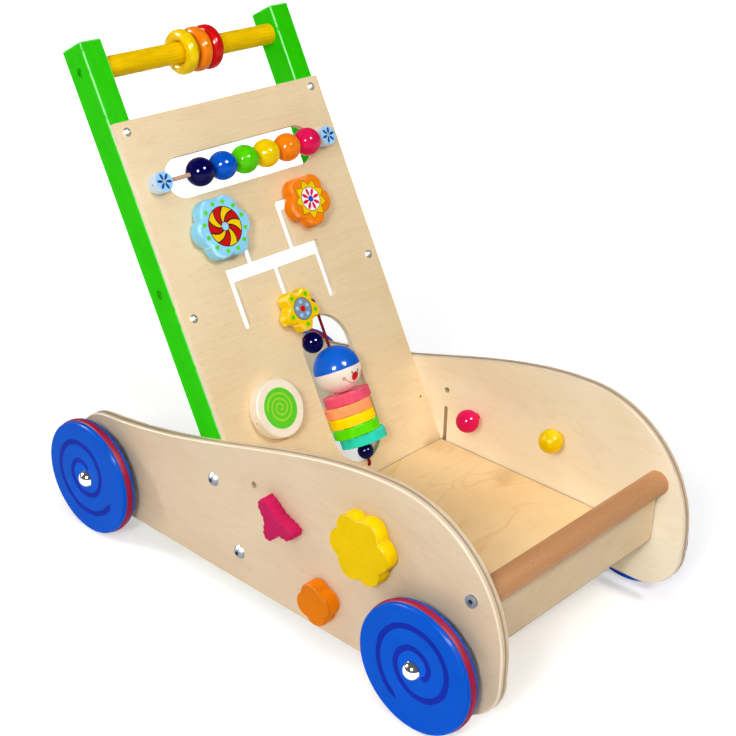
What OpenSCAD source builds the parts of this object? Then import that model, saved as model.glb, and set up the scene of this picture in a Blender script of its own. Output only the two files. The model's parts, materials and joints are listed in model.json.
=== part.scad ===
// Baby push walker: a ply tray on four wheels with a leaning play board, a push handle and turning toys.
// Millimetres. X points forward, Y to the walker's left, Z up. The ground is Z = 0.
// The origin is on the ground under the middle of the walker.

/* [Wheels] */
// Outside diameter of a tyre
tyre_d = 115; // [108:1:122]
// Width of a tyre
tyre_w = 7; // [5:0.5:8]
// How far a tyre stands proud of the wheel's rim
tyre_proud = 1; // [0.5:0.1:2]
// Depth of the groove that the tyre sits in
tyre_seat = 4; // [2.5:0.5:6]
// Width of a wheel between its two faces
wheel_w = 14; // [13:0.5:18]
// Width of the rim outside the tyre
rim_lip = 4; // [3:0.5:4.5]
// Rounding of the rim's edges
rim_round = 2; // [0.5:0.5:2.5]
// Height of the hub boss between wheel and side panel
boss_h = 10; // [6:0.5:12]
// Diameter of the hub boss
boss_d = 26; // [20:1:34]
// Diameter of a stub axle
axle_d = 8; // [6:0.5:10]
// Distance between the two axles
wheelbase = 412.5; // [395:0.5:430]
// Diameter of the domed cap on an axle's end
cap_d = 17; // [15:0.5:20]
// Height of the domed cap
cap_h = 6.5; // [6:0.5:9]

/* [Side panels] */
// Clear width between the two side panels
body_w = 246.6; // [240:0.2:254]
// Thickness of a side panel
panel_t = 10; // [8:0.5:12]
// Height of the panels' straight lower edge over the ground
panel_clear = 20.5; // [15:0.5:25]
// Height of a panel from its lower edge to its crown
panel_h = 174; // [168:1:182]
// Radius of the crown at the front
crown_r = 112; // [106:1:116]
// Radius of the foot at the front
foot_r = 43; // [34:1:46]
// Radius of the round tail
tail_r = 49; // [45:1:52]
// How far the tail's centre lies ahead of the rear axle
tail_ahead = 7.5; // [3:0.5:12]
// Upward slope of the top edge where it leaves the tail, in degrees
tail_slope = 5.7; // [3:0.1:8]
// How far the top edge is drawn straight on from the tail
tail_pull = 152; // [135:1:165]
// How far the top edge is drawn straight back from the crown
crown_pull = 110; // [95:1:125]
// Distance from the front axle to the panels' front end
front_overhang = 68; // [62:0.5:74]

/* [Tray] */
// Height of the floor's upper face over the ground
floor_top = 74.5; // [72.5:0.5:78]
// Thickness of the floor
floor_t = 6; // [4:0.5:7]
// Thickness of the front panel
front_t = 8; // [6:0.5:10]
// Distance from the front panel's face to the side panels' front end
front_inset = 31; // [28:0.5:36]
// Diameter of the round front rail
rail_d = 22.5; // [20:0.5:26]
// Height of the front rail's axis over the ground
rail_z = 127; // [122:0.5:132]
// How far the rail's axis lies ahead of the middle of the front panel
rail_ahead = 3; // [0:0.5:4]
// Depth of the rail's groove over the front panel
rail_groove = 4; // [2:0.5:5]
// Diameter of the small hole through each side panel
panel_hole_d = 6; // [4:0.5:8]
// Height of that hole over the floor
panel_hole_rise = 54.5; // [48:0.5:60]
// Distance from the front axle back to that hole
panel_hole_back = 204.5; // [198:0.5:210]
// Width of the blind groove on a panel's inner face
groove_w = 4.5; // [2.5:0.5:5.5]
// Depth of that groove
groove_t = 4; // [2:0.5:5]
// Height of that groove over the floor
groove_h = 37; // [30:1:42]

/* [Board and handle] */
// Angle of the play board from upright, in degrees
tilt = 28.6; // [27:0.1:30]
// Thickness of the play board
board_t = 6; // [5:0.5:8]
// Distance from the front axle back to the board's face, measured at the ground
board_back = 168.5; // [164:0.5:174]
// Lower end of the board, along its slope from the ground
board_low = 62; // [58:1:68]
// Upper end of the board, along its slope from the ground
board_top = 459.5; // [452:0.5:468]
// Width of a handle post
post_w = 23; // [21:0.5:26]
// Depth of a handle post
post_d = 29; // [27:0.5:32]
// Lower end of a post, along the slope
post_low = 48; // [44:1:54]
// Height of the handle bar's axis over the board's upper end, along the slope
handle_rise = 51.5; // [46:0.5:56]
// Diameter of the handle bar
handle_d = 19.5; // [18:0.5:22]
// Distance of the handle bar's axis below the posts' upper end
handle_drop = 23.5; // [18:0.5:30]
// Diameter of a ring on the handle
ring_d = 41; // [38:0.5:46]
// Width of a ring along the bar
ring_w = 12.5; // [11.5:0.5:14]
// Place of the far ring's middle along the bar
ring_y = 21; // [12:1:32]
// Gap between the two outer rings
ring_gap = 0.8; // [0.4:0.2:3]
// Gap between the near ring and the next
ring_space = 4; // [1:0.5:10]

/* [Abacus] */
// Height of the abacus rod along the board
abacus_s = 400; // [396:0.5:404]
// Share of the board's width that the abacus slot takes
abacus_share = 0.73; // [0.71:0.005:0.75]
// Height of the abacus slot
abacus_h = 37; // [32:0.5:40]
// Diameter of an abacus bead
bead_d = 26.3; // [25:0.1:27.5]
// Diameter of the abacus rod
rod_d = 4; // [3:0.5:5]
// Diameter of the knobs that hold the rod
rod_knob_d = 18.4; // [16:0.2:20]
// Height of those knobs
rod_knob_h = 12; // [11:0.5:14]
// Distance from the slot's end to a knob
rod_knob_gap = 1.8; // [1:0.2:3]

/* [Maze] */
// Width of the maze's upright slots
maze_w = 8.4; // [8:0.2:10]
// Width of the maze's cross channel
maze_channel = 12; // [9:0.5:13]
// Height of the cross channel along the board
maze_s = 304; // [301:0.5:307]
// Place of the maze's middle across the board
maze_y = -3; // [-6:0.5:0]
// Length of a lower slot below the channel's middle
maze_drop = 50; // [46:0.5:52]
// Distance between neighbouring lower slots
maze_pitch = 54; // [48:0.5:58]
// Height of the upper stubs over the channel's middle
maze_rise = 47; // [44:0.5:48]
// Distance of an upper slot from the maze's middle
maze_upper = 26.5; // [25:0.5:29]
// Length of an upper stub towards the side
maze_stub = 27; // [24:0.5:30]
// Diameter of a slider's peg
peg_d = 7.4; // [6:0.2:7.6]
// Thickness of a slider's shape
slider_t = 14; // [11:0.5:16]
// Outer radius of the six-lobed slider
slider_six_r = 29.5; // [26:0.5:30.5]
// Outer radius of the five-lobed slider
slider_five_r = 25; // [21:0.5:26]
// Outer radius of the star slider
slider_star_r = 20.5; // [18:0.5:22]
// Distance of a shape's middle below its peg
slider_drop = 3.5; // [0:0.5:5]
// Diameter of the disc that keeps a slider on the board
keeper_d = 20; // [16:0.5:24]
// Thickness of that disc
keeper_t = 5; // [3:0.5:7]

/* [Spiral knob] */
// Diameter of the spiral knob
knob_d = 53.5; // [48:0.5:56]
// Thickness of the spiral knob
knob_t = 12; // [10:0.5:15]
// Distance of the knob's middle from the board's right edge
knob_inset = 59.3; // [53:0.1:66]
// Height of the knob along the board
knob_s = 179; // [170:0.5:190]
// Diameter of the knob's spindle
knob_pin_d = 8; // [6:0.5:10]

/* [Doll] */
// Width of the doll's slot
doll_slot_w = 61; // [58:0.5:64]
// Lower end of the doll's slot, along the board
doll_slot_low = 99; // [96:0.5:101]
// Upper end of the doll's slot, along the board
doll_slot_top = 243; // [240:0.5:248]
// Place of the doll across the board
doll_y = 23; // [20:0.5:26]
// Diameter of the doll's head
head_d = 45; // [42:0.5:46]
// Diameter of a disc of the doll's body
disc_d = 45; // [41:0.5:48]
// Thickness of a disc
disc_t = 10; // [9:0.1:10.2]
// Diameter of the hole through a disc
disc_bore = 9.6; // [9:0.2:12]
// Diameter of the bead under the discs
foot_bead_d = 15.5; // [14:0.5:16.5]
// Height of that bead's middle over the lower end of the slot
foot_bead_rise = 8.5; // [8:0.1:10]
// Diameter of the pull bead
pull_bead_d = 20.5; // [18:0.5:21]
// Distance of the pull bead from the middle of the slot's round upper end
pull_bead_out = 16; // [15:0.5:17]
// Direction of the pull bead from there, in degrees from the board's left
pull_bead_turn = 148; // [140:1:158]
// Diameter of the cord
cord_d = 3; // [2:0.2:3.4]
// Distance of the cord's upper hole above the slot
cord_hole_up = 15; // [12:0.5:18]
// Distance of the cord's lower hole below the slot
cord_hole_down = 5; // [4.5:0.5:7]

/* [Turning shapes] */
// Thickness of a shape on the outside of a panel
shape_t = 14; // [11:0.5:16]
// Reach of the three-armed star
star_r = 22.5; // [20:0.5:25]
// Outer radius of the six-petal flower
flower_r = 31.5; // [28:0.5:34]
// Outer radius of the four-petal clover
clover_r = 19.5; // [17:0.5:22]
// Diameter of a shape's spindle
spindle_d = 8; // [6:0.5:10]
// Diameter of the ball on a spindle's inner end
ball_d = 22.5; // [18:0.5:24]
// Gap between ball and panel
ball_gap = 2.5; // [1:0.5:5]
// Distance from the front axle back to the star's spindle
star_back = 166.5; // [160:0.5:172]
// Height of the star's spindle over the floor
star_rise = 40; // [36:0.5:44]
// Distance from the front axle back to the flower's spindle
flower_back = 70; // [64:0.5:76]
// Height of the flower's spindle over the floor
flower_rise = 56.5; // [54:0.5:60]
// Distance from the front axle back to the clover's spindle
clover_back = 119; // [112:0.5:126]
// Depth of the clover's spindle below the floor's underside
clover_sink = 14.5; // [13.5:0.5:17]

/* [Fasteners] */
// Diameter of a wood screw's head
screw_head_d = 8; // [6:0.5:10]
// Diameter of a wood screw's shank
screw_d = 3.6; // [3:0.2:4.6]
// Length of a wood screw's shank in the piece that it holds
screw_bite = 16; // [12:1:20]
// Distance of the upper board screws below the board's upper end
screw_inset = 9.5; // [7:0.5:14]
// Height of the middle board screws along the board
screw_mid_s = 280; // [265:1:295]
// Diameter of the small holes low on the board
pin_hole_d = 3; // [2:0.2:4]
// Height of those holes along the board
pin_hole_s = 131; // [115:1:150]
// Distance of those holes from the board's edges
pin_hole_inset = 7.5; // [6:0.5:10]
// Depth of the counterbore over a handle screw, and of the blind hole below it
counterbore = 10.5; // [8:0.5:12]
// Height of the blind hole in a post's outer face, along the slope
post_hole_s = 309; // [300:1:318]
// Diameter of a post bolt's domed head
dome_head_d = 13; // [11:0.5:15]
// Diameter of a rail bolt's flat head
bolt_head_d = 11; // [9:0.5:14]
// Diameter of a panel bolt's shank
bolt_d = 6; // [5:0.5:7]
// Height of the lower post bolts along the slope
bolt_low_s = 72; // [66:1:78]
// Height of the upper post bolts along the slope
bolt_top_s = 141; // [132:1:150]
// Distance of the post bolts from a post's back face
bolt_inset = 11; // [9:0.5:13]
// Height of the rail bolts over the rail's axis
rail_bolt_rise = 2.5; // [0:0.5:3.5]

/* [Hidden] */
$fn = 64;

// Sides: the walker's right is -Y and its left is +Y
RIGHT = -1;
LEFT = 1;

// Clearances: glued or screwed joints, turning fits, and faces that pass each other
glue_gap = 0.05;
turn_gap = 0.08;
slide_gap = 0.2;
face_gap = 0.4;
// How far a cutting tool runs past the face it cuts
past = 1;
// Steps along each arc and along the top edge of a side panel
arc_steps = 24;
edge_steps = 32;

// Colours
birch = [0.90, 0.80, 0.64];
beech = [0.78, 0.57, 0.37];
green = [0.18, 0.78, 0.08];
yellow = [0.96, 0.78, 0.06];
orange = [0.95, 0.50, 0.10];
red = [0.82, 0.08, 0.10];
pink = [0.88, 0.16, 0.36];
navy = [0.05, 0.06, 0.36];
blue = [0.06, 0.34, 0.80];
pale_blue = [0.66, 0.85, 0.96];
leaf = [0.22, 0.78, 0.10];
teal = [0.14, 0.72, 0.66];
cream = [0.95, 0.90, 0.80];
steel = [0.78, 0.79, 0.80];
tyre_red = [0.72, 0.10, 0.22];

// Lengthwise places
axle_z = tyre_d / 2;
total_l = axle_z + wheelbase + front_overhang;
front_x = total_l / 2;
front_axle_x = front_x - front_overhang;
rear_axle_x = front_axle_x - wheelbase;
panel_out = body_w / 2 + panel_t;
wheel_in = panel_out + boss_h;
wheel_out = wheel_in + wheel_w;
rim_r = axle_z - tyre_proud;
seat_r = rim_r - tyre_seat;
axle_bite = cap_h * 0.6;
axle_head_d = axle_d * 1.75;
axle_head_t = axle_d * 0.4;

// Tray
floor_under = floor_top - floor_t;
front_face_x = front_x - front_inset;
front_mid_x = front_face_x - front_t / 2;
rail_x = front_mid_x + rail_ahead;
front_top = rail_z - sqrt(pow(rail_d / 2, 2) - pow(rail_ahead, 2)) + rail_groove;
hole_x = front_axle_x - panel_hole_back;
hole_z = floor_top + panel_hole_rise;

// Board, posts and handle, in the board's own frame: [out of the board, across, up the slope]
board_x = front_axle_x - board_back;
post_back = -board_t - post_d;
post_mid = -board_t - post_d / 2;
post_y = body_w / 2 - post_w / 2;
handle_s = board_top + handle_rise;
post_top = handle_s + handle_drop;
handle_half = body_w / 2 - post_w;
screw_rows = [screw_mid_s, board_top - screw_inset];
screw_head_h = screw_head_d * 0.28;
bolt_n = post_back + bolt_inset;
bolt_bite = post_w * 0.75;
rail_bolt_z = rail_z + rail_bolt_rise;
dome_head_h = dome_head_d * 0.28;
socket_head_h = bolt_head_d * 0.21;
socket_d = bolt_d * 0.75;
cross_l = screw_head_d * 0.6;
cross_w = screw_head_d * 0.12;
cross_floor = screw_head_h * 0.45;

// Rings along the handle bar
ring_red_y = ring_y;
ring_orange_y = ring_red_y - ring_w - ring_gap;
ring_yellow_y = ring_orange_y - ring_w - ring_space;

// Abacus: the row of beads stands against the left end of its slot
abacus_l = body_w * abacus_share;
rod_n = rod_knob_h / 2;
rod_knob_y = abacus_l / 2 + rod_knob_gap + rod_knob_d / 2;
rod_half = rod_knob_y + rod_d / 2;
bead_cut_r = sqrt(pow(bead_d / 2, 2) - pow(rod_n, 2));
bead_count = 6;
bead_stop = 0.8;
bead_pitch = bead_d + face_gap;
bead_last_y = abacus_l / 2 - bead_cut_r - bead_stop;

// Maze: [across, up the slope] of the three sliders at rest
stub_s = maze_s + maze_rise;
six_at = [maze_y - maze_upper - maze_stub, stub_s];
five_at = [maze_y + maze_upper + maze_stub, stub_s];
star_at = [maze_y, maze_s - maze_drop + maze_w / 2];
slider_gap = 0.6;
peg_bite = slider_t * 0.5;
slider_arm_w = slider_star_r * 0.42;
slider_star_turns = [0, 72, 144, 216, 288];
slider_valleys = [for (turn = slider_star_turns) slider_star_r * 0.72];
knob_y = knob_inset - body_w / 2;
knob_bite = knob_t * 0.6;

// Doll: the cord runs just clear of the board's face
disc_count = 5;
cord_n = cord_d / 2 + face_gap;
cord_low = doll_slot_low - cord_hole_down;
cord_top = doll_slot_top + cord_hole_up;
cord_bend_d = cord_d * 1.16;
knot_d = cord_d * 2.4;
disc_pitch = disc_t + face_gap;
foot_bead_s = doll_slot_low + foot_bead_rise;
// Sideways shift of each loose disc, from the lowest up
disc_shift = [2.8, -2, -3, -3, 0.2];
disc_low_s = foot_bead_s + seat(foot_bead_d, disc_shift[0]) + face_gap + disc_t / 2;
disc_top_s = disc_low_s + (disc_count - 1) * disc_pitch + disc_t / 2;
head_s = disc_top_s + face_gap + seat(head_d, disc_shift[disc_count - 1]);
pull_mid_s = doll_slot_top - doll_slot_w / 2;
pull_n = -board_t / 2;
pull_bite = 5;
pull_start = pull_bead_out - pull_bead_d / 2 - cord_d / 2;

// Turning shapes: [x, z] of each spindle
star_xz = [front_axle_x - star_back, floor_top + star_rise];
flower_xz = [front_axle_x - flower_back, floor_top + flower_rise];
clover_xz = [front_axle_x - clover_back, floor_under - clover_sink];
shape_bite = shape_t * 0.65;
star_arm_w = star_r * 0.56;
star_valleys = [star_r * 0.6, star_r * 0.62, star_r * 0.36];
// Radius of a petal against its flower's, for four, five and six petals
petal_four = 0.6;
petal_five = 0.48;
petal_six = 0.44;
// Turn of each arm of the star and of each flower, in degrees
star_turns = [143, 248, 339];
flower_turn = 5;
clover_turn = 21;

// Distance from a ball's middle to a disc that it sits on, for a disc shifted sideways
function seat(d, shift) = sqrt(pow(d / 2, 2) - pow(disc_bore / 2 - abs(shift), 2));

// Place of the board's face along X at height z
function board_face_x(z) = board_x - z * tan(tilt);

// Points on an arc from angle a to angle b, both in degrees
function arc(x, z, r, a, b) = [
    for (i = [0:arc_steps])
        let (t = a + (b - a) * i / arc_steps)
            [x + r * cos(t), z + r * sin(t)]
];

// A point turned about the origin
function rotated(p, turn) = [p[0] * cos(turn) - p[1] * sin(turn), p[0] * sin(turn) + p[1] * cos(turn)];

// A point on a cubic curve through p and s with handles q and r
function cubic(p, q, r, s, t) =
    pow(1 - t, 3) * p + 3 * pow(1 - t, 2) * t * q + 3 * (1 - t) * t * t * r + pow(t, 3) * s;

// Outline of a side panel in X and Z, clockwise from the crown
function panel_outline() = let (
    crown = [front_x - crown_r, panel_clear + panel_h - crown_r],
    foot = [front_x - foot_r, panel_clear + foot_r],
    tail = [rear_axle_x + tail_ahead, panel_clear + tail_r],
    leave = tail + tail_r * [-sin(tail_slope), cos(tail_slope)],
    meet = crown + [0, crown_r],
    pull_a = leave + tail_pull * [cos(tail_slope), sin(tail_slope)],
    pull_b = meet - [crown_pull, 0]
) concat(
    arc(crown[0], crown[1], crown_r, 90, 0),
    arc(foot[0], foot[1], foot_r, 0, -90),
    arc(tail[0], tail[1], tail_r, 270, 90 + tail_slope),
    [for (i = [1:edge_steps - 1]) cubic(leave, pull_a, pull_b, meet, i / edge_steps)]
);

// Places its children in the board's own frame
module lean() {
    translate([board_x, 0, 0])
        rotate([0, -tilt, 0])
            children();
}

// Cylinder along the board's normal at [across, up the slope], from depth a to depth b
module peg(at, d, a, b) {
    translate([a, at[0], at[1]])
        rotate([0, 90, 0])
            cylinder(h = b - a, d = d);
}

// Cylinder along Y from y = a to y = b
module bar(x, z, d, a, b) {
    translate([x, a, z])
        rotate([-90, 0, 0])
            cylinder(h = b - a, d = d);
}

// Slice of a sphere with a flat base of diameter d and height h
module dome(d, h) {
    ball_r = (d * d / 4 + h * h) / (2 * h);
    intersection() {
        translate([0, 0, h - ball_r])
            sphere(r = ball_r);
        cylinder(h = h + past, d = d + past);
    }
}

// Flower of n round petals, standing on Z = 0
module petals(n, r, petal_r, t, turn) {
    linear_extrude(t)
        rotate(turn)
            union() {
                circle(r = r - petal_r);
                for (i = [0:n - 1])
                    rotate(i * 360 / n)
                        translate([r - petal_r, 0])
                            circle(r = petal_r);
            }
}

// Star with blunt arms of width w at the given turns, standing on Z = 0.
// Each valley is the radius of the dip between an arm and the next.
module blunt_star(turns, r, w, valleys, t) {
    linear_extrude(t)
        polygon([
            for (i = [0:len(turns) - 1], j = [-1:1])
                let (
                    next = i + 1 < len(turns) ? turns[i + 1] : turns[0] + 360,
                    dip = (turns[i] + next) / 2
                )
                    j < 1
                        ? rotated([r, (2 * j + 1) * w / 2], turns[i])
                        : rotated([valleys[i], 0], dip)
        ]);
}

// Side panels
module side_panel(side) {
    inner = side * body_w / 2;
    color(birch)
        difference() {
            translate([0, side > 0 ? panel_out : -body_w / 2, 0])
                rotate([90, 0, 0])
                    linear_extrude(panel_t)
                        polygon(panel_outline());
            for (x = [front_axle_x, rear_axle_x])
                panel_bore(x, axle_z, axle_d + 2 * glue_gap, side);
            for (at = [star_xz, flower_xz, clover_xz])
                panel_bore(at[0], at[1], spindle_d + 2 * turn_gap, side);
            panel_bore(hole_x, hole_z, panel_hole_d, side);
            panel_bore(rail_x, rail_bolt_z, bolt_d + 2 * glue_gap, side);
            lean()
                for (s = [bolt_low_s, bolt_top_s])
                    bar(bolt_n, s, bolt_d + 2 * glue_gap, inner - panel_t - past, inner + panel_t + past);
            panel_groove(side);
        }
}

module panel_bore(x, z, d, side) {
    inner = side * body_w / 2;
    outer = side * panel_out;
    bar(x, z, d, min(inner, outer) - past, max(inner, outer) + past);
}

// Blind groove with a round upper end, on a panel's inner face
module panel_groove(side) {
    inner = side * body_w / 2;
    low = min(inner, inner + side * groove_t);
    translate([hole_x - groove_w / 2, low, floor_under])
        cube([groove_w, groove_t, floor_t + groove_h - groove_w / 2]);
    bar(hole_x, floor_top + groove_h - groove_w / 2, groove_w, low, low + groove_t);
}

// Tray
module floor_panel() {
    color(birch)
        translate([0, body_w / 2, 0])
            rotate([90, 0, 0])
                linear_extrude(body_w)
                    polygon([
                        [front_face_x - front_t, floor_under],
                        [front_face_x - front_t, floor_top],
                        [board_face_x(floor_top) + glue_gap, floor_top],
                        [board_face_x(floor_under) + glue_gap, floor_under]
                    ]);
}

module front_panel() {
    color(birch)
        translate([front_face_x - front_t, -body_w / 2, floor_under])
            cube([front_t, body_w, front_top - floor_under]);
}

module front_rail() {
    color(beech)
        difference() {
            bar(rail_x, rail_z, rail_d, -body_w / 2, body_w / 2);
            translate([front_mid_x - front_t / 2 - glue_gap, -body_w / 2 - past, rail_z - rail_d])
                cube([front_t + 2 * glue_gap, body_w + 2 * past, front_top + glue_gap - rail_z + rail_d]);
            for (side = [RIGHT, LEFT])
                bar(
                    rail_x, rail_bolt_z, bolt_d + 2 * glue_gap,
                    side * body_w / 2 - bolt_bite - glue_gap, side * body_w / 2 + bolt_bite + glue_gap
                );
        }
}

// Play board with its abacus slot, maze, doll slot and holes
module activity_board() {
    color(birch)
        lean()
            difference() {
                translate([-board_t, -body_w / 2, board_low])
                    cube([board_t, body_w, board_top - board_low]);
                board_slot([-1, 1] * (abacus_l - abacus_h) / 2, [abacus_s, abacus_s], abacus_h);
                board_slot(
                    [doll_y, doll_y],
                    [doll_slot_low + doll_slot_w / 2, doll_slot_top - doll_slot_w / 2],
                    doll_slot_w
                );
                maze_cut();
                board_bore([knob_y, knob_s], knob_pin_d + 2 * turn_gap);
                for (s = [cord_low, cord_top])
                    board_bore([doll_y, s], cord_d + 2 * glue_gap);
                pull_line(cord_d + 2 * glue_gap, doll_slot_w / 2 + pull_bite + glue_gap);
                for (side = [RIGHT, LEFT]) {
                    board_bore([side * (body_w / 2 - pin_hole_inset), pin_hole_s], pin_hole_d);
                    for (s = screw_rows)
                        board_bore([side * post_y, s], screw_d + 2 * glue_gap);
                }
            }
}

module board_bore(at, d) {
    peg(at, d, -board_t - past, past);
}

// Slot with round ends between [y0, s0] and [y1, s1], given as [y0, y1] and [s0, s1]
module board_slot(y, s, w) {
    for (i = [0, 1])
        board_bore([y[i], s[i]], w);
    across = abs(y[1] - y[0]);
    along = abs(s[1] - s[0]);
    translate([
        -board_t - past,
        min(y) - (across > along ? 0 : w / 2),
        min(s) - (across > along ? w / 2 : 0)
    ])
        cube([board_t + 2 * past, across > along ? across : w, across > along ? w : along]);
}

module maze_cut() {
    channel_half = maze_pitch + maze_w / 2;
    translate([-board_t - past, maze_y - channel_half, maze_s - maze_channel / 2])
        cube([board_t + 2 * past, 2 * channel_half, maze_channel]);
    for (i = [-1:1])
        board_slot(
            [maze_y + i * maze_pitch, maze_y + i * maze_pitch],
            [maze_s - maze_drop + maze_w / 2, maze_s],
            maze_w
        );
    for (i = [-1, 1]) {
        board_slot([maze_y + i * maze_upper, maze_y + i * maze_upper], [maze_s, stub_s], maze_w);
        board_slot(
            [maze_y + i * maze_upper, maze_y + i * (maze_upper + maze_stub)],
            [stub_s, stub_s],
            maze_w
        );
    }
}

// Posts and handle
module post(side) {
    color(green)
        lean()
            difference() {
                translate([post_back, side * post_y - post_w / 2, post_low])
                    cube([post_d, post_w, post_top - post_low]);
                for (s = screw_rows)
                    peg([side * post_y, s], screw_d + 2 * glue_gap, -board_t - screw_bite - glue_gap, past);
                for (s = [bolt_low_s, bolt_top_s])
                    bolt_hole(side, s);
                bar(
                    post_mid, handle_s, screw_d + 2 * glue_gap,
                    side * post_y - post_w / 2 - past, side * post_y + post_w / 2 + past
                );
                for (s = [post_hole_s, handle_s])
                    counterbore_hole(side, s);
            }
}

module bolt_hole(side, s) {
    face = side * body_w / 2;
    ends = [face + side * past, face - side * (bolt_bite + glue_gap)];
    bar(bolt_n, s, bolt_d + 2 * glue_gap, min(ends), max(ends));
}

module counterbore_hole(side, s) {
    face = side * body_w / 2;
    ends = [face + side * past, face - side * counterbore];
    bar(post_mid, s, screw_head_d + 2 * slide_gap, min(ends), max(ends));
}

module handle_bar() {
    color(yellow)
        lean()
            difference() {
                bar(post_mid, handle_s, handle_d, -handle_half, handle_half);
                for (side = [RIGHT, LEFT])
                    bar(
                        post_mid, handle_s, screw_d + 2 * glue_gap,
                        side * handle_half - screw_bite - glue_gap, side * handle_half + screw_bite + glue_gap
                    );
            }
}

// Ring with a round section round the handle bar
module ring(y, tint) {
    hole_r = handle_d / 2 + face_gap;
    section_r = (ring_d / 2 - hole_r) / 2;
    reach = max(0, ring_w / 2 - section_r);
    color(tint)
        lean()
            translate([post_mid, y, handle_s])
                rotate([-90, 0, 0])
                    rotate_extrude()
                        translate([hole_r + section_r, 0]) {
                            for (i = [-1, 1])
                                translate([0, i * reach])
                                    circle(r = section_r);
                            translate([-section_r, -reach])
                                square([2 * section_r, 2 * reach]);
                        }
}

// Fasteners
module wood_screw(grip) {
    difference() {
        union() {
            dome(screw_head_d, screw_head_h);
            translate([0, 0, -grip])
                cylinder(h = grip + screw_head_h / 2, d = screw_d);
        }
        for (turn = [0, 90])
            rotate([0, 0, turn])
                translate([-cross_l / 2, -cross_w / 2, cross_floor])
                    cube([cross_l, cross_w, screw_head_h]);
    }
}

module wood_screws() {
    color(steel)
        lean() {
            for (side = [RIGHT, LEFT], s = screw_rows)
                translate([0, side * post_y, s])
                    rotate([0, 90, 0])
                        wood_screw(board_t + screw_bite);
            for (side = [RIGHT, LEFT])
                translate([post_mid, side * (body_w / 2 - counterbore), handle_s])
                    rotate([-side * 90, 0, 0])
                        wood_screw(post_w - counterbore + screw_bite);
        }
}

// Bolt with a six-sided socket, its head given by the children and head_h high
module socket_bolt(grip, head_h) {
    difference() {
        union() {
            children();
            translate([0, 0, -grip])
                cylinder(h = grip + head_h / 2, d = bolt_d);
        }
        translate([0, 0, -socket_head_h])
            cylinder(h = socket_head_h + head_h + past, d = socket_d, $fn = 6);
    }
}

module panel_bolts() {
    color(steel)
        for (side = [RIGHT, LEFT]) {
            lean()
                for (s = [bolt_low_s, bolt_top_s])
                    translate([bolt_n, side * panel_out, s])
                        rotate([-side * 90, 0, 0])
                            socket_bolt(panel_t + bolt_bite, dome_head_h)
                                dome(dome_head_d, dome_head_h);
            translate([rail_x, side * panel_out, rail_bolt_z])
                rotate([-side * 90, 0, 0])
                    socket_bolt(panel_t + bolt_bite, socket_head_h)
                        cylinder(h = socket_head_h, d = bolt_head_d);
        }
}

// Stub axles, each with a flat head inside its panel, and wheels
module axles() {
    outer = wheel_out + face_gap + axle_bite - glue_gap;
    inner = body_w / 2;
    color(steel)
        for (x = [front_axle_x, rear_axle_x], side = [RIGHT, LEFT])
            translate([x, side * inner, axle_z])
                rotate([-side * 90, 0, 0]) {
                    translate([0, 0, -axle_head_t])
                        cylinder(h = axle_head_t, d = axle_head_d);
                    translate([0, 0, -axle_head_t / 2])
                        cylinder(h = outer - inner + axle_head_t / 2, d = axle_d);
                }
}

module axle_caps() {
    color(steel)
        for (x = [front_axle_x, rear_axle_x], side = [RIGHT, LEFT])
            translate([x, side * (wheel_out + face_gap), axle_z])
                rotate([-side * 90, 0, 0])
                    difference() {
                        dome(cap_d, cap_h);
                        translate([0, 0, -past])
                            cylinder(h = axle_bite + past, d = axle_d + 2 * glue_gap);
                    }
}

// Stands its children on a wheel's outer face, with Z along the axle towards the middle of the walker
module at_wheel(x, side) {
    translate([x, side * wheel_out, axle_z])
        rotate([side * 90, 0, 0])
            children();
}

// Section of a wheel, from its outer face at y = 0
module wheel_section() {
    edge = min(rim_round, rim_lip * 0.7);
    bore_r = axle_d / 2 + turn_gap;
    difference() {
        union() {
            translate([bore_r, 0])
                square([rim_r - edge - bore_r, wheel_w]);
            translate([bore_r, edge])
                square([rim_r - bore_r, wheel_w - 2 * edge]);
            for (y = [edge, wheel_w - edge])
                translate([rim_r - edge, y])
                    circle(r = edge);
            translate([bore_r, wheel_w - past])
                square([boss_d / 2 - bore_r, boss_h - face_gap + past]);
        }
        translate([seat_r, rim_lip])
            square([rim_r, tyre_w]);
    }
}

module wheel(x, side) {
    color(blue)
        at_wheel(x, side)
            rotate_extrude()
                wheel_section();
}

module tyre(x, side) {
    inside = seat_r + glue_gap;
    width = tyre_w - 2 * glue_gap;
    edge = min(tyre_w * 0.3, (axle_z - inside) * 0.8);
    color(tyre_red)
        at_wheel(x, side)
            translate([0, 0, rim_lip + glue_gap])
                rotate_extrude() {
                    translate([inside, 0])
                        square([axle_z - edge - inside, width]);
                    translate([inside, edge])
                        square([axle_z - inside, width - 2 * edge]);
                    for (y = [edge, width - edge])
                        translate([axle_z - edge, y])
                            circle(r = edge);
                }
}

// Abacus
module abacus_knobs() {
    color(pale_blue)
        lean()
            difference() {
                for (side = [RIGHT, LEFT])
                    peg([side * rod_knob_y, abacus_s], rod_knob_d, 0, rod_knob_h);
                bar(rod_n, abacus_s, rod_d + 2 * glue_gap, -rod_half - glue_gap, rod_half + glue_gap);
            }
}

module abacus_rod() {
    color(cream)
        lean()
            bar(rod_n, abacus_s, rod_d, -rod_half, rod_half);
}

// Bead number i of the row, counted from the right
module abacus_bead(i, tint) {
    y = bead_last_y - (bead_count - 1 - i) * bead_pitch;
    color(tint)
        lean()
            difference() {
                translate([rod_n, y, abacus_s])
                    sphere(d = bead_d);
                bar(rod_n, abacus_s, rod_d + 2 * slide_gap, y - bead_d, y + bead_d);
            }
}

// Maze sliders: a shape in front of the board and a peg with a disc that keeps it there
module on_board(at, n) {
    lean()
        translate([n, at[0], at[1]])
            rotate([0, 90, 0])
                children();
}

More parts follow.
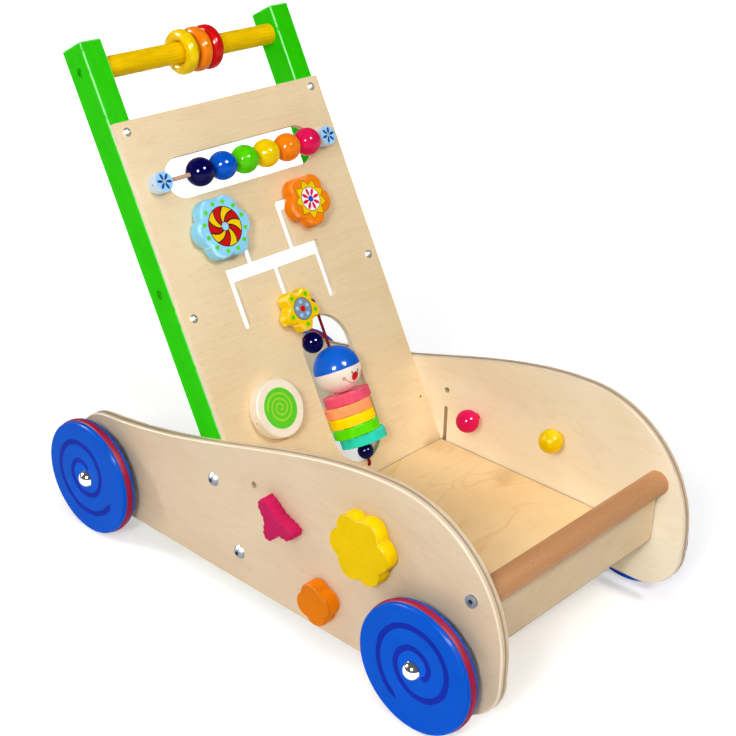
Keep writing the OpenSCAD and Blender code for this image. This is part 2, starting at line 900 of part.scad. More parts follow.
module slider(at, tint) {
    color(tint)
        on_board([at[0], at[1] - slider_drop], slider_gap)
            difference() {
                children();
                translate([-slider_drop, 0, -past])
                    cylinder(h = peg_bite + past, d = peg_d + 2 * glue_gap);
            }
}

module slider_blue() {
    slider(six_at, pale_blue)
        petals(6, slider_six_r, slider_six_r * petal_six, slider_t, 30);
}

module slider_orange() {
    slider(five_at, orange)
        petals(5, slider_five_r, slider_five_r * petal_five, slider_t, 0);
}

module slider_yellow() {
    slider(star_at, yellow)
        blunt_star(slider_star_turns, slider_star_r, slider_arm_w, slider_valleys, slider_t);
}

module keeper(at) {
    color(birch)
        lean() {
            peg(at, peg_d, -board_t - slider_gap - past, slider_gap + peg_bite - glue_gap);
            peg(at, keeper_d, -board_t - slider_gap - keeper_t, -board_t - slider_gap);
        }
}

// Spiral knob on its own spindle
module spiral_knob() {
    color(cream)
        lean()
            difference() {
                peg([knob_y, knob_s], knob_d, face_gap, face_gap + knob_t);
                peg([knob_y, knob_s], knob_pin_d + 2 * glue_gap, 0, face_gap + knob_bite);
            }
}

module knob_spindle() {
    color(birch)
        lean() {
            peg([knob_y, knob_s], knob_pin_d, -board_t - face_gap - past, face_gap + knob_bite - glue_gap);
            peg([knob_y, knob_s], keeper_d, -board_t - face_gap - keeper_t, -board_t - face_gap);
        }
}

// Doll threaded on a cord that is held in the board above and below its slot
module upright(y, d, a, b) {
    translate([cord_n, y, a])
        cylinder(h = b - a, d = d);
}

// Cylinder of diameter d from the pull bead into the slot's wall, reaching b from the middle of its round end
module pull_line(d, b) {
    translate([pull_n, doll_y, pull_mid_s])
        rotate([pull_bead_turn - 90, 0, 0])
            translate([0, 0, pull_start])
                cylinder(h = b - pull_start, d = d);
}

module doll_cord() {
    color(red)
        lean() {
            upright(doll_y, cord_d, cord_low, cord_top);
            for (s = [cord_low, cord_top]) {
                translate([cord_n, doll_y, s])
                    rotate([90, 0, 0])
                        sphere(d = cord_bend_d);
                peg([doll_y, s], cord_d, -board_t - knot_d / 2, cord_n);
                translate([-board_t - glue_gap - knot_d / 2, doll_y, s])
                    rotate([0, 90, 0])
                        sphere(d = knot_d);
            }
            pull_line(cord_d, doll_slot_w / 2 + pull_bite);
        }
}

module cord_beads() {
    color(navy)
        lean() {
            difference() {
                translate([cord_n, doll_y, foot_bead_s])
                    sphere(d = foot_bead_d);
                upright(doll_y, cord_d + 2 * glue_gap, foot_bead_s - foot_bead_d, foot_bead_s + foot_bead_d);
            }
            difference() {
                translate([pull_n, doll_y, pull_mid_s])
                    rotate([pull_bead_turn - 90, 0, 0])
                        translate([0, 0, pull_bead_out])
                            sphere(d = pull_bead_d);
                pull_line(cord_d + 2 * glue_gap, doll_slot_w / 2);
            }
        }
}

module doll_head() {
    color(cream)
        lean()
            difference() {
                translate([cord_n, doll_y, head_s])
                    sphere(d = head_d);
                upright(doll_y, cord_d + 2 * slide_gap, head_s - head_d, head_s + head_d);
            }
}

// Disc number i of the doll's body, counted from the lowest
module doll_disc(i, tint) {
    y = doll_y + disc_shift[i];
    low = disc_low_s + i * disc_pitch - disc_t / 2;
    color(tint)
        lean()
            difference() {
                upright(y, disc_d, low, low + disc_t);
                upright(y, disc_bore, low - past, low + disc_t + past);
            }
}

// Turning shapes outside the panels and their spindles, which end in a ball inside
module on_panel(at, side) {
    translate([at[0], side * (panel_out + face_gap), at[1]])
        rotate([-side * 90, 0, 0])
            children();
}

module shape(at, side, tint) {
    color(tint)
        on_panel(at, side)
            difference() {
                children();
                translate([0, 0, -past])
                    cylinder(h = shape_bite + past, d = spindle_d + 2 * glue_gap);
            }
}

module shape_star(side) {
    shape(star_xz, side, pink)
        mirror([0, side == LEFT ? 1 : 0, 0])
            blunt_star(star_turns, star_r, star_arm_w, star_valleys, shape_t);
}

module shape_flower(side) {
    shape(flower_xz, side, yellow)
        petals(6, flower_r, flower_r * petal_six, shape_t, -side * flower_turn);
}

module shape_clover(side) {
    shape(clover_xz, side, orange)
        petals(4, clover_r, clover_r * petal_four, shape_t, -side * clover_turn);
}

module spindle(at, side, tint) {
    inner = side * (body_w / 2 - ball_gap - ball_d / 2);
    outer = side * (panel_out + face_gap + shape_bite - glue_gap);
    color(tint) {
        bar(at[0], at[1], spindle_d, min(inner, outer), max(inner, outer));
        translate([at[0], inner, at[1]])
            sphere(d = ball_d);
    }
}

side_panel(RIGHT);  // side_panel_right
side_panel(LEFT);  // side_panel_left
floor_panel();
front_panel();
front_rail();
activity_board();
post(RIGHT);  // post_right
post(LEFT);  // post_left
handle_bar();
wood_screws();
panel_bolts();
axles();
axle_caps();
abacus_knobs();
abacus_rod();
doll_cord();
cord_beads();
wheel(front_axle_x, RIGHT);  // wheel_front_right
wheel(front_axle_x, LEFT);  // wheel_front_left
wheel(rear_axle_x, RIGHT);  // wheel_rear_right
wheel(rear_axle_x, LEFT);  // wheel_rear_left
tyre(front_axle_x, RIGHT);  // tyre_front_right
tyre(front_axle_x, LEFT);  // tyre_front_left
tyre(rear_axle_x, RIGHT);  // tyre_rear_right
tyre(rear_axle_x, LEFT);  // tyre_rear_left
ring(ring_yellow_y, yellow);  // ring_yellow
ring(ring_orange_y, orange);  // ring_orange
ring(ring_red_y, red);  // ring_red
abacus_bead(0, navy);  // bead_navy
abacus_bead(1, blue);  // bead_blue
abacus_bead(2, leaf);  // bead_green
abacus_bead(3, yellow);  // bead_yellow
abacus_bead(4, orange);  // bead_orange
abacus_bead(5, pink);  // bead_pink
slider_blue();
slider_orange();
slider_yellow();
keeper(six_at);  // keeper_blue
keeper(five_at);  // keeper_orange
keeper(star_at);  // keeper_yellow
spiral_knob();
knob_spindle();
doll_head();
doll_disc(4, pink);  // doll_disc_pink
doll_disc(3, orange);  // doll_disc_orange
doll_disc(2, yellow);  // doll_disc_yellow
doll_disc(1, leaf);  // doll_disc_green
doll_disc(0, teal);  // doll_disc_teal
shape_star(RIGHT);  // shape_star_right
shape_flower(RIGHT);  // shape_flower_right
shape_clover(RIGHT);  // shape_clover_right
shape_star(LEFT);  // shape_star_left
shape_flower(LEFT);  // shape_flower_left
shape_clover(LEFT);  // shape_clover_left
spindle(star_xz, RIGHT, pink);  // spindle_star_right
spindle(flower_xz, RIGHT, yellow);  // spindle_flower_right
spindle(clover_xz, RIGHT, orange);  // spindle_clover_right
spindle(star_xz, LEFT, pink);  // spindle_star_left
spindle(flower_xz, LEFT, yellow);  // spindle_flower_left
spindle(clover_xz, LEFT, orange);  // spindle_clover_left
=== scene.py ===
"""Baby push walker: finishes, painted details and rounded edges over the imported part."""

import json
import math

import bmesh
import bpy
from bpy.props import FloatProperty, FloatVectorProperty, PointerProperty
from mathutils import Matrix, Vector


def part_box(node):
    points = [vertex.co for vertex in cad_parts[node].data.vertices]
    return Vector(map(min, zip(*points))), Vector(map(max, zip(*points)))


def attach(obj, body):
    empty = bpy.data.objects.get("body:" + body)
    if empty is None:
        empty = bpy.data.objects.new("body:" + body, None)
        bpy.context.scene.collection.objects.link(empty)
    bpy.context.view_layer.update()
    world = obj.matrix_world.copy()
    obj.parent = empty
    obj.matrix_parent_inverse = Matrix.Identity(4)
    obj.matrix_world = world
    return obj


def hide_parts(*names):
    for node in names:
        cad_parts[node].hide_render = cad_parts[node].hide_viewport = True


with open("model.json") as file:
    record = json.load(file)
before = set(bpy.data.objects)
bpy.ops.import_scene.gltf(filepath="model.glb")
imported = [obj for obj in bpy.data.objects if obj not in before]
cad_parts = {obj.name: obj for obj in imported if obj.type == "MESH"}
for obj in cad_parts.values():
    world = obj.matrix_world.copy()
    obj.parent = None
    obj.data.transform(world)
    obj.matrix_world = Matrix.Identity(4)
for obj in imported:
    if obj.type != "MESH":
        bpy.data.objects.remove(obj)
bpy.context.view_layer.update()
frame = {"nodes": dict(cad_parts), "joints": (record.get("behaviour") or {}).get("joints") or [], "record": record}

bl_info = {
    "name": "Baby push walker",
    "version": (1, 0, 0),
    "blender": (4, 5, 0),
    "location": "3D View > Sidebar > Walker",
    "description": "Finishes, painted details and studio for a wooden push walker",
    "category": "Object",
}

MM = 0.001
BODIES = frame["record"]["behaviour"]["bodies"]
BODY_OF = {node: body for body, nodes in BODIES.items() for node in nodes}
JOINTS = {joint["name"]: joint for joint in frame["joints"]}
SIDES = (("right", -1), ("left", 1))
ENDS = ("front", "rear")

# The walker's own directions, and the play board's: out of its face, across it and up its slope
FORWARD, ACROSS, UPRIGHT = Vector((1, 0, 0)), Vector((0, 1, 0)), Vector((0, 0, 1))
OUT = Vector(JOINTS["spiral_knob_body_spin"]["axis"]).normalized()
UP = Vector(JOINTS["slider_yellow_body_slide"]["axis"]).normalized()
KNOB_AT = Vector(JOINTS["spiral_knob_body_spin"]["pos_m"])
BOARD_FOOT = Vector((KNOB_AT.dot(OUT) / OUT.x, 0, 0))
BOARD_FRAME = Matrix.Translation(BOARD_FOOT) @ Matrix((OUT, ACROSS, UP)).transposed().to_4x4()

# Grain of a piece: the direction along it first
LENGTHWISE = (FORWARD, ACROSS, UPRIGHT)
SIDEWAYS = (ACROSS, FORWARD, UPRIGHT)
ON_PANEL = (FORWARD, UPRIGHT, ACROSS)
UP_BOARD = (UP, ACROSS, OUT)
ALONG_ROD = (ACROSS, OUT, UP)
OUT_OF_BOARD = (OUT, ACROSS, UP)

# Rims of holes and slots that reach less far than this stay sharp
SMALL_RIM = 16 * MM
PANEL_RIM = 100 * MM
# Soft border of a painted line, and where a print on a flat face starts and is full, below that face
BLUR = 0.06 * MM
FACE_FADE = (-0.4 * MM, -0.15 * MM)

# Turn of each arm of the side star in degrees, and the radius of the valley after it in millimetres
STAR_ARMS = (143, 248, 339)
STAR_VALLEYS = (12.4, 13.0, 5.7)

# Routes of the doll's cord and of its pull strand in the board's frame, in millimetres: out, across and up
CORD_ROUTE = ((-9.6, 23, 94), (1.9, 23, 94), (1.9, 23, 258), (-9.6, 23, 258))
PULL_ROUTE = ((-3, 19.4, 214.8), (-3, -7.1, 231.3))
# Middle and radius of the bead on each of the two
FOOT_BEAD = ((1.9, 23, 107.5), 7.75)
PULL_BEAD = ((-3, 9.43, 220.98), 10.25)


def colour(name, label, rgb):
    """A colour property from sRGB values of 0 to 255."""
    linear = [((c / 255 + 0.055) / 1.055) ** 2.4 if c > 10 else c / 255 / 12.92 for c in rgb]
    limits = {"size": 3, "min": 0, "max": 1}
    return FloatVectorProperty(name=name, description=label, default=linear, subtype="COLOR", **limits)


def length(name, label, mm):
    """A length property given in millimetres."""
    return FloatProperty(name=name, description=label, default=mm * MM, unit="LENGTH", min=0)


class WalkerColours(bpy.types.PropertyGroup):
    birch: colour("Birch", "Pale wood of the ply faces", (236, 213, 170))
    birch_tan: colour("Birch figure", "Darker figure in the ply faces", (226, 194, 146))
    panel: colour("Panel birch", "Pale wood of the side panels", (223, 201, 169))
    panel_tan: colour("Panel figure", "Darker figure in the side panels", (207, 180, 146))
    # The inner faces' paler birch and figure are painted light, a lit copy of the panel birch
    inner: colour("Inner birch", "Pale wood of the side panels' inner faces", (253, 241, 214))
    inner_tan: colour("Inner figure", "Darker figure in those faces", (240, 217, 178))
    floor: colour("Floor birch", "Pale wood of the tray's floor", (240, 210, 160))
    floor_tan: colour("Floor figure", "Darker figure in the floor", (228, 184, 122))
    # The front panel's birch and figure are painted darker than the other ply, as painted shade
    front: colour("Front birch", "Pale wood of the front panel", (222, 200, 162))
    front_tan: colour("Front figure", "Darker figure in the front panel", (208, 178, 134))
    seam: colour("Seam", "Dark line where panels meet", (92, 66, 44))
    ply_core: colour("Ply core", "End grain between the pale layers of an edge", (210, 182, 152))
    panel_core: colour("Panel core", "Dark middle layer in the side panels' edges", (150, 118, 90))
    # The side panels' rounded edges are paler: partly sanded birch, partly a painted highlight
    panel_edge: colour("Panel edge", "Rounded edge of the side panels", (240, 222, 196))
    board_core: colour("Board core", "End grain in the play board's edges", (248, 240, 226))
    beech: colour("Beech", "Round rail at the front", (206, 151, 101))
    beech_fleck: colour("Beech fleck", "Short dark marks in the rail and the rod", (172, 112, 68))
    maple: colour("Pale wood", "Knob and pegs without paint", (254, 247, 230))
    maple_tan: colour("Pale wood figure", "Darker figure in the knob and pegs", (240, 219, 186))
    rod: colour("Rod wood", "Thin rod of the abacus", (214, 182, 158))
    green: colour("Post green", "Lacquer of the two posts", (42, 201, 0))
    yellow: colour("Yellow", "Lacquer of the yellow toys", (246, 205, 0))
    amber: colour("Amber", "Lacquer of the handle bar", (240, 194, 2))
    orange: colour("Orange", "Lacquer of the orange toys", (247, 132, 12))
    red: colour("Red", "Lacquer of the red ring", (206, 14, 14))
    pink: colour("Pink", "Lacquer of the pink toys", (222, 20, 84))
    star: colour("Star", "Lacquer of the side star", (190, 28, 86))
    flower: colour("Flower", "Lacquer of the side flower", (234, 194, 0))
    clover: colour("Clover", "Lacquer of the side clover", (221, 119, 4))
    navy: colour("Navy", "Lacquer of the darkest beads", (4, 2, 74))
    blue: colour("Blue", "Lacquer of the wheels and the blue bead", (0, 84, 202))
    spiral: colour("Spiral", "Painted spiral on a wheel", (14, 42, 164))
    leaf: colour("Leaf green", "Lacquer of the green toys", (86, 212, 4))
    lime: colour("Lime", "Line on the green knob face", (152, 218, 16))
    teal: colour("Teal", "Lacquer of the lowest disc", (44, 202, 180))
    pale_blue: colour("Pale blue", "Lacquer of the rod knobs", (156, 210, 247))
    sky: colour("Sky blue", "Lacquer of the blue slider", (146, 214, 246))
    slate: colour("Slate", "Printed wheel on the yellow slider", (124, 149, 173))
    petal: colour("Petal", "Painted petals on the rod knobs", (20, 70, 156))
    heart: colour("Heart", "Middle of those petals", (196, 204, 80))
    cap: colour("Cap", "Painted cap of the doll", (12, 98, 216))
    cream: colour("Cream", "Painted face of the doll", (255, 249, 236))
    tyre: colour("Tyre", "Red rubber of the tyres", (154, 20, 54))
    cord: colour("Cord", "Red cord of the doll", (132, 10, 28))
    steel: colour("Steel", "Chrome of the axle caps", (236, 236, 232))
    zinc: colour("Zinc", "Bolts and axles", (128, 136, 144))
    dull_zinc: colour("Dull zinc", "Screws", (122, 121, 118))
    ink: colour("Ink", "Thin dark lines, eyes and pins", (30, 26, 34))
    white: colour("White", "White of the printed toys", (250, 248, 244))


class WalkerSizes(bpy.types.PropertyGroup):
    ply_round: length("Ply edge", "Rounding of the side panels' edges", 1.3)
    board_round: length("Board edge", "Rounding of the thin ply's edges", 0.5)
    joint_round: length("Joint edge", "Rounding where the tray's panels meet", 1.2)
    post_round: length("Post edge", "Rounding of the posts' edges", 1.3)
    bar_round: length("Bar edge", "Rounding of the handle bar's ends", 0.4)
    dowel_round: length("Dowel edge", "Rounding of the rail's and the pegs' ends", 0.6)
    toy_round: length("Toy edge", "Rounding of the turning shapes' edges", 1.6)
    star_round: length("Star edge", "Rounding of the fluted star's edges", 0.6)
    flute_pitch: length("Flute pitch", "Distance from flute to flute round the star", 6.0)
    flute_depth: length("Flute depth", "Depth of the star's flutes", 0.9)
    slider_round: length("Slider edge", "Rounding of the maze sliders' edges", 2.2)
    disc_round: length("Disc edge", "Rounding of the doll's discs", 0.8)
    rim_round: length("Rim edge", "Rounding of a wheel's rim", 2.0)
    ply_pitch: length("Ply layer", "Thickness of the side panels' pale outer layers", 4.1)
    board_pitch: length("Board layer", "Thickness of one layer of the thin ply", 1.2)
    slider_drop: length("Slider drop", "Distance of a slider's middle below its peg", 3.5)
    spiral_width: length("Wheel spiral", "Width of the painted line on a wheel", 5.3)
    spiral_pitch: length("Wheel spiral pitch", "Distance between turns of that line", 18.7)
    spiral_start: length("Wheel spiral start", "Radius at which that line starts", 9.6)
    spiral_off: length("Wheel spiral offset", "Distance of that line's middle from the hub", 5.7)
    strand: length("Cord strand", "Diameter of one strand of the cord", 1.7)


def sizes():
    return bpy.context.scene.walker_sizes


def rgba(name):
    return (*getattr(bpy.context.scene.walker_colours, name), 1.0)


# Nodes


class Wire:
    """A value in a node tree. Sums, differences, products and quotients of wires are Math nodes."""

    def __init__(self, socket):
        self.socket = socket
        self.tree = socket.id_data

    def maths(self, operation, *others, clamp=False):
        return maths(self.tree, operation, self, *others, clamp=clamp)

    def __add__(self, other):
        return self.maths("ADD", other)

    def __sub__(self, other):
        return self.maths("SUBTRACT", other)

    def __rsub__(self, other):
        return maths(self.tree, "SUBTRACT", other, self)

    def __mul__(self, other):
        return self.maths("MULTIPLY", other)

    def __truediv__(self, other):
        return self.maths("DIVIDE", other)

    def __rtruediv__(self, other):
        return maths(self.tree, "DIVIDE", other, self)

    def __abs__(self):
        return self.maths("ABSOLUTE")


def put(socket, value):
    """Gives a socket a wire, a colour by its name or a plain value."""
    if isinstance(value, Wire):
        value.tree.links.new(value.socket, socket)
    else:
        socket.default_value = rgba(value) if isinstance(value, str) else value


def new_node(tree, kind, values=None, **settings):
    """Adds a node with some settings, and gives its inputs wires or values."""
    node = tree.nodes.new(kind)
    for key, value in settings.items():
        setattr(node, key, value)
    for key, value in (values or {}).items():
        put(node.inputs[key], value)
    return node


def add(tree, kind, values=None, out=0, **settings):
    """Adds a node and returns one of its outputs."""
    return Wire(new_node(tree, kind, values, **settings).outputs[out])


def wires(node):
    """All outputs of a node by name."""
    return {socket.name: Wire(socket) for socket in node.outputs}


def maths(tree, operation, *values, clamp=False):
    return add(tree, "ShaderNodeMath", dict(enumerate(values)), operation=operation, use_clamp=clamp)


def dot(vector, axis):
    values = {0: vector, 1: tuple(axis)}
    return add(vector.tree, "ShaderNodeVectorMath", values, out="Value", operation="DOT_PRODUCT")


def moved(vector, centre):
    """A vector as seen from a new origin."""
    return add(vector.tree, "ShaderNodeVectorMath", {0: vector, 1: tuple(centre)}, operation="SUBTRACT")


def combine(x, y, z=0.0):
    return add(x.tree, "ShaderNodeCombineXYZ", {"X": x, "Y": y, "Z": z})


def parts_of(vector):
    """X, Y and Z of a vector."""
    return wires(new_node(vector.tree, "ShaderNodeSeparateXYZ", {0: vector})).values()


def step(value, low, high):
    """0 below low and 1 above high, with a soft edge; low may be the larger one."""
    values = {"Value": value, "From Min": low, "From Max": high}
    return add(value.tree, "ShaderNodeMapRange", values, out="Result", interpolation_type="SMOOTHSTEP")


def within(value, limit, blur=BLUR):
    """1 where a value is below a limit, with a soft edge."""
    return step(value, limit + blur, limit - blur)


def over(mask, under, top):
    """Colour top laid over colour under where mask is 1."""
    values = {0: mask, 6: under, 7: top}
    return add(mask.tree, "ShaderNodeMix", values, out=2, data_type="RGBA", clamp_factor=True)


def painted(base, *layers):
    """A colour with layers of paint over it, each a mask and a colour."""
    for mask, tone in layers:
        base = over(mask, base, tone)
    return base


def tint(tree, tone, value, saturation=1.0):
    """A colour made lighter or darker by value, and richer or greyer by saturation."""
    values = {"Color": tone, "Value": value, "Saturation": saturation}
    return add(tree, "ShaderNodeHueSaturation", values)


def edge_mask(tree):
    """1 on the faces that round_edges made."""
    return add(tree, "ShaderNodeAttribute", out="Fac", attribute_name="edge")


def noise(vector, scale, detail=2.0, roughness=0.5, distortion=0.0):
    """Noise on a vector; scale is how many waves a metre holds, one number or three of them."""
    stretch = scale if isinstance(scale, tuple) else (scale,) * 3
    mapped = add(vector.tree, "ShaderNodeMapping", {"Vector": vector, "Scale": stretch})
    values = {"Vector": mapped, "Scale": 1.0, "Detail": detail}
    values.update({"Roughness": roughness, "Distortion": distortion})
    return add(vector.tree, "ShaderNodeTexNoise", values, out="Fac")


def new_group(name, outputs, **inputs):
    """A node group with a Vector and other inputs: returns the inputs as wires, and the output sockets."""
    tree = bpy.data.node_groups.new(name, "ShaderNodeTree")
    for label, default in {"Vector": (0.0, 0.0, 0.0), **inputs}.items():
        kind = "Float" if isinstance(default, float) else "Vector" if len(default) == 3 else "Color"
        socket = tree.interface.new_socket(label, in_out="INPUT", socket_type="NodeSocket" + kind)
        socket.default_value = default
    for label, kind in outputs.items():
        tree.interface.new_socket(label, in_out="OUTPUT", socket_type="NodeSocket" + kind)
    return wires(new_node(tree, "NodeGroupInput")), new_node(tree, "NodeGroupOutput").inputs


def use(group, vector, **values):
    """Places a node group on a vector and returns its outputs. Underscores in the names stand for spaces."""
    values = {key.replace("_", " "): value for key, value in values.items()}
    tree = bpy.data.node_groups[group]
    return wires(new_node(vector.tree, "ShaderNodeGroup", {"Vector": vector, **values}, node_tree=tree))


def spoke(vector, count, turn):
    """Place along and beside the nearest of some spokes round the origin, in the vector's X and Y."""
    polar = use("Polar", vector)
    off = ((polar["Angle"] - turn) * count + 0.5).maths("FRACT") - 0.5
    swing = off / count * (2 * math.pi)
    return polar["Radius"] * swing.maths("COSINE"), polar["Radius"] * swing.maths("SINE")


# Shared effects

BLANK = (0.5, 0.5, 0.5, 1.0)


def make_polar():
    """Radius, and angle in turns, of the vector's X and Y."""
    given, out = new_group("Polar", {"Radius": "Float", "Angle": "Float"})
    x, y, _ = parts_of(given["Vector"])
    put(out["Radius"], (x * x + y * y).maths("SQRT"))
    put(out["Angle"], y.maths("ARCTAN2", x) / (2 * math.pi))


def make_birch_figure():
    """Rotary-cut birch with the grain along the vector's X: broad waves, fine fibres and short flecks."""
    outputs = {"Color": "Color", "Height": "Float"}
    given, out = new_group("Birch figure", outputs, Pale=BLANK, Tan=BLANK, Fleck=0.4, Line=0.2, Fibre=0.55)
    at = given["Vector"]
    swirl = noise(at, (5.0, 17.0, 17.0), 2.5, 0.5, 1.1)
    line = step((swirl * 11.0).maths("PINGPONG", 1.0), 0.22, 0.0)
    cloud = step(noise(at, (9.0, 14.0, 14.0), 3.0), 0.35, 0.72)
    fibre = noise(at, (26.0, 620.0, 620.0), 2.0, 0.6)
    fleck = step(noise(at, (150.0, 1100.0, 1100.0), 1.0), 0.66, 0.74)
    wave = cloud * 0.42 + line * given["Line"] + (fibre - 0.5) * given["Fibre"]
    wave = wave.maths("ADD", fleck * given["Fleck"], clamp=True)
    put(out["Color"], over(wave, given["Pale"], given["Tan"]))
    put(out["Height"], fibre - fleck * 0.6)


def make_ply_layers():
    """Layers of plywood by the depth below a face: 0 on pale layers and 1 on the end grain between them."""
    outputs = {"End grain": "Float", "Glue": "Float", "Height": "Float"}
    given, out = new_group("Ply layers", outputs, Depth=0.0, Pitch=0.0014)
    at = given["Vector"]
    layer = given["Depth"] / given["Pitch"] + (noise(at, 45.0, 1.0) - 0.5) * 0.3
    swing = (layer - 0.5).maths("PINGPONG", 1.0)
    below = step(layer, 0.7, 1.0)
    end_grain = step(swing, 0.4, 0.6) * below
    put(out["End grain"], end_grain)
    put(out["Glue"], step(abs(swing - 0.5), 0.14, 0.02) * below)
    put(out["Height"], (noise(at, 1500.0, 1.0) - 0.5) * end_grain)


def make_lacquer():
    """Gloss lacquer on wood with the grain along X: a trace of grain, a soft mottle and rubbed spots."""
    outputs = {"Color": "Color", "Roughness": "Float", "Height": "Float"}
    given, out = new_group("Lacquer", outputs, Color=BLANK, Grain=0.12, Gloss=0.22)
    at = given["Vector"]
    grain = noise(at, (40.0, 520.0, 520.0), 3.0, 0.6)
    shade = (grain - 0.5) * given["Grain"] + (noise(at, 55.0) - 0.5) * 0.14
    put(out["Color"], tint(at.tree, given["Color"], shade + 1.0))
    put(out["Roughness"], given["Gloss"] + step(noise(at, 38.0, 4.0, 0.6), 0.52, 0.7) * 0.14)
    put(out["Height"], noise(at, 320.0, 1.0) * 0.5 + grain * 0.5)


def make_worn_and_highlit_edge():
    """Rubbed lacquer along rounded edges, and a painted highlight along them."""
    given, out = new_group("Worn and highlit edge", {"Mask": "Float", "Edge": "Float"}, Amount=0.5)
    at = given["Vector"]
    edge = edge_mask(at.tree)
    chance = step(noise(at, 90.0, 4.0, 0.65) + given["Amount"] * 0.3, 0.62, 0.74)
    put(out["Mask"], chance * edge)
    put(out["Edge"], edge)


def make_spiral():
    """A spiral line drawn by hand in the vector's X and Y, which grows by a pitch a turn from its start."""
    numbers = {"Start": 0.01, "Pitch": 0.018, "Turns": 1.7, "Width": 0.005, "Turn": 0.0}
    given, out = new_group("Spiral", {"Mask": "Float"}, **numbers)
    waver, end, border = 2.2 * MM, 0.03, 0.12 * MM
    polar = use("Polar", given["Vector"])
    radius = polar["Radius"] + (noise(given["Vector"], 55.0, 1.0) - 0.5) * waver
    angle = (polar["Angle"] - given["Turn"]).maths("FRACT")
    wound = (radius - given["Start"]) / given["Pitch"]
    along = (wound - angle).maths("ROUND") + angle
    away = abs(wound - along) * given["Pitch"]
    drawn = step(given["Turns"] - along, 0.0, end) * step(along, -end, 0.0)
    put(out["Mask"], step(given["Width"] * 0.5 * drawn - away, -border, border))


def make_petal_ring():
    """A ring of teardrop petals round the vector's origin, in its X and Y."""
    numbers = {"Count": 6.0, "Inner": 0.001, "Outer": 0.006, "Half width": 0.001, "Turn": 0.0}
    given, out = new_group("Petal ring", {"Mask": "Float"}, **numbers)
    along, side = spoke(given["Vector"], given["Count"], given["Turn"])
    share = (along - given["Inner"]).maths("DIVIDE", given["Outer"] - given["Inner"], clamp=True)
    swell = share.maths("POWER", 0.7) * (1.0 - share).maths("SQRT")
    put(out["Mask"], within(abs(side) - swell * given["Half width"] * 2.0, 0.0))


def make_groups():
    make_polar()
    make_birch_figure()
    make_ply_layers()
    make_lacquer()
    make_worn_and_highlit_edge()
    make_spiral()
    make_petal_ring()


# Materials


class Finish:
    """A material with a Principled shader; at holds its Object coordinates."""

    def __init__(self, name):
        self.material = bpy.data.materials.new(name)
        self.material.use_nodes = True
        self.tree = self.material.node_tree
        self.tree.nodes.clear()
        shader = new_node(self.tree, "ShaderNodeBsdfPrincipled")
        self.inputs = shader.inputs
        new_node(self.tree, "ShaderNodeOutputMaterial", {"Surface": Wire(shader.outputs[0])})
        self.at = add(self.tree, "ShaderNodeTexCoord", out="Object")

    def along(self, grain):
        """The place of a point along the grain and across it."""
        return combine(*(dot(self.at, axis) for axis in grain))

    def set(self, **values):
        """Gives the shader's inputs wires or values. Underscores in the names stand for spaces."""
        for key, value in values.items():
            put(self.inputs[key.replace("_", " ")], value)

    def bump(self, height, strength, distance):
        values = {"Height": height, "Strength": strength, "Distance": distance}
        self.set(Normal=add(self.tree, "ShaderNodeBump", values))


def ply(
    name, grain, depth, pitch, tones,
    fleck=0.4, line=0.16, fibre=0.55, inner_face=0.0, end_grain=0.4, edge=None,
):
    """Clear-lacquered birch ply; depth tells how far a point lies below a face.

    Nearer to the walker's middle than inner_face, the wood is painted paler, as painted light.
    edge names the rounded edges' colour.
    """
    made = Finish(name)
    along = made.along(grain)
    pale, tan, core = tones
    # Painted light: the side panels' inner faces take paler copies of the birch
    if inner_face:
        lit_inside = abs(dot(made.at, ACROSS)).maths("LESS_THAN", inner_face)
        pale, tan = over(lit_inside, pale, "inner"), over(lit_inside, tan, "inner_tan")
    figure = use("Birch figure", along, Pale=pale, Tan=tan, Fleck=fleck, Line=line, Fibre=fibre)
    layers = use("Ply layers", along, Depth=depth(made.at), Pitch=pitch)
    glue = tint(made.tree, core, 0.62)
    tone = painted(figure["Color"], (layers["End grain"] * end_grain, core), (layers["Glue"] * 0.4, glue))
    if edge:
        tone = over(edge_mask(made.tree), tone, edge)
    rough = figure["Height"] * 0.12 + layers["End grain"] * 0.18 + 0.4
    made.set(Base_Color=tone, Roughness=rough, Coat_Weight=0.02, Coat_Roughness=0.3, Specular_IOR_Level=0.12)
    made.bump(figure["Height"] + layers["Height"], 0.25, 0.12 * MM)
    return made.material


def slab_depth(axis, low, high, both_sides=False):
    """Depth below the faces of a slab that lies across an axis; both_sides folds the axis at its origin."""

    def depth(at):
        place = abs(dot(at, axis)) if both_sides else dot(at, axis)
        return (high - low) / 2 - abs(place - (low + high) / 2)

    return depth


def lacquer(
    name, tone, grain=LENGTHWISE,
    strength=0.14, gloss=0.26, shine=0.02, paint=None, wear_and_highlight=0.5, lift=1.0, rich=1.0,
):
    """Coloured lacquer on wood. paint may lay a print over the colour: it gets the place and the colour.

    shine is the share of a clear coat, lift brightens the colour and rich deepens it.
    """
    made = Finish(name)
    base = paint(made.at, tone) if paint else tone
    if lift != 1:
        base = tint(made.tree, base, lift, rich)
    coat = use("Lacquer", made.along(grain), Color=base, Grain=strength, Gloss=gloss)
    rubbed = use("Worn and highlit edge", made.at, Amount=wear_and_highlight)
    # Paler lacquer on rounded edges: partly rubbed paint, partly a painted highlight where the amount is high
    pale = tint(made.tree, coat["Color"], 1.45, 0.75)
    made.set(
        Base_Color=over(rubbed["Mask"] * (0.8 * wear_and_highlight), coat["Color"], pale),
        Roughness=coat["Roughness"],
        Specular_IOR_Level=0.02,
        Coat_Weight=rubbed["Edge"] * 0.035 + shine,
        Coat_Roughness=0.03 + 0.3 * gloss,
    )
    made.bump(coat["Height"], 0.12, 0.15 * MM)
    return made.material


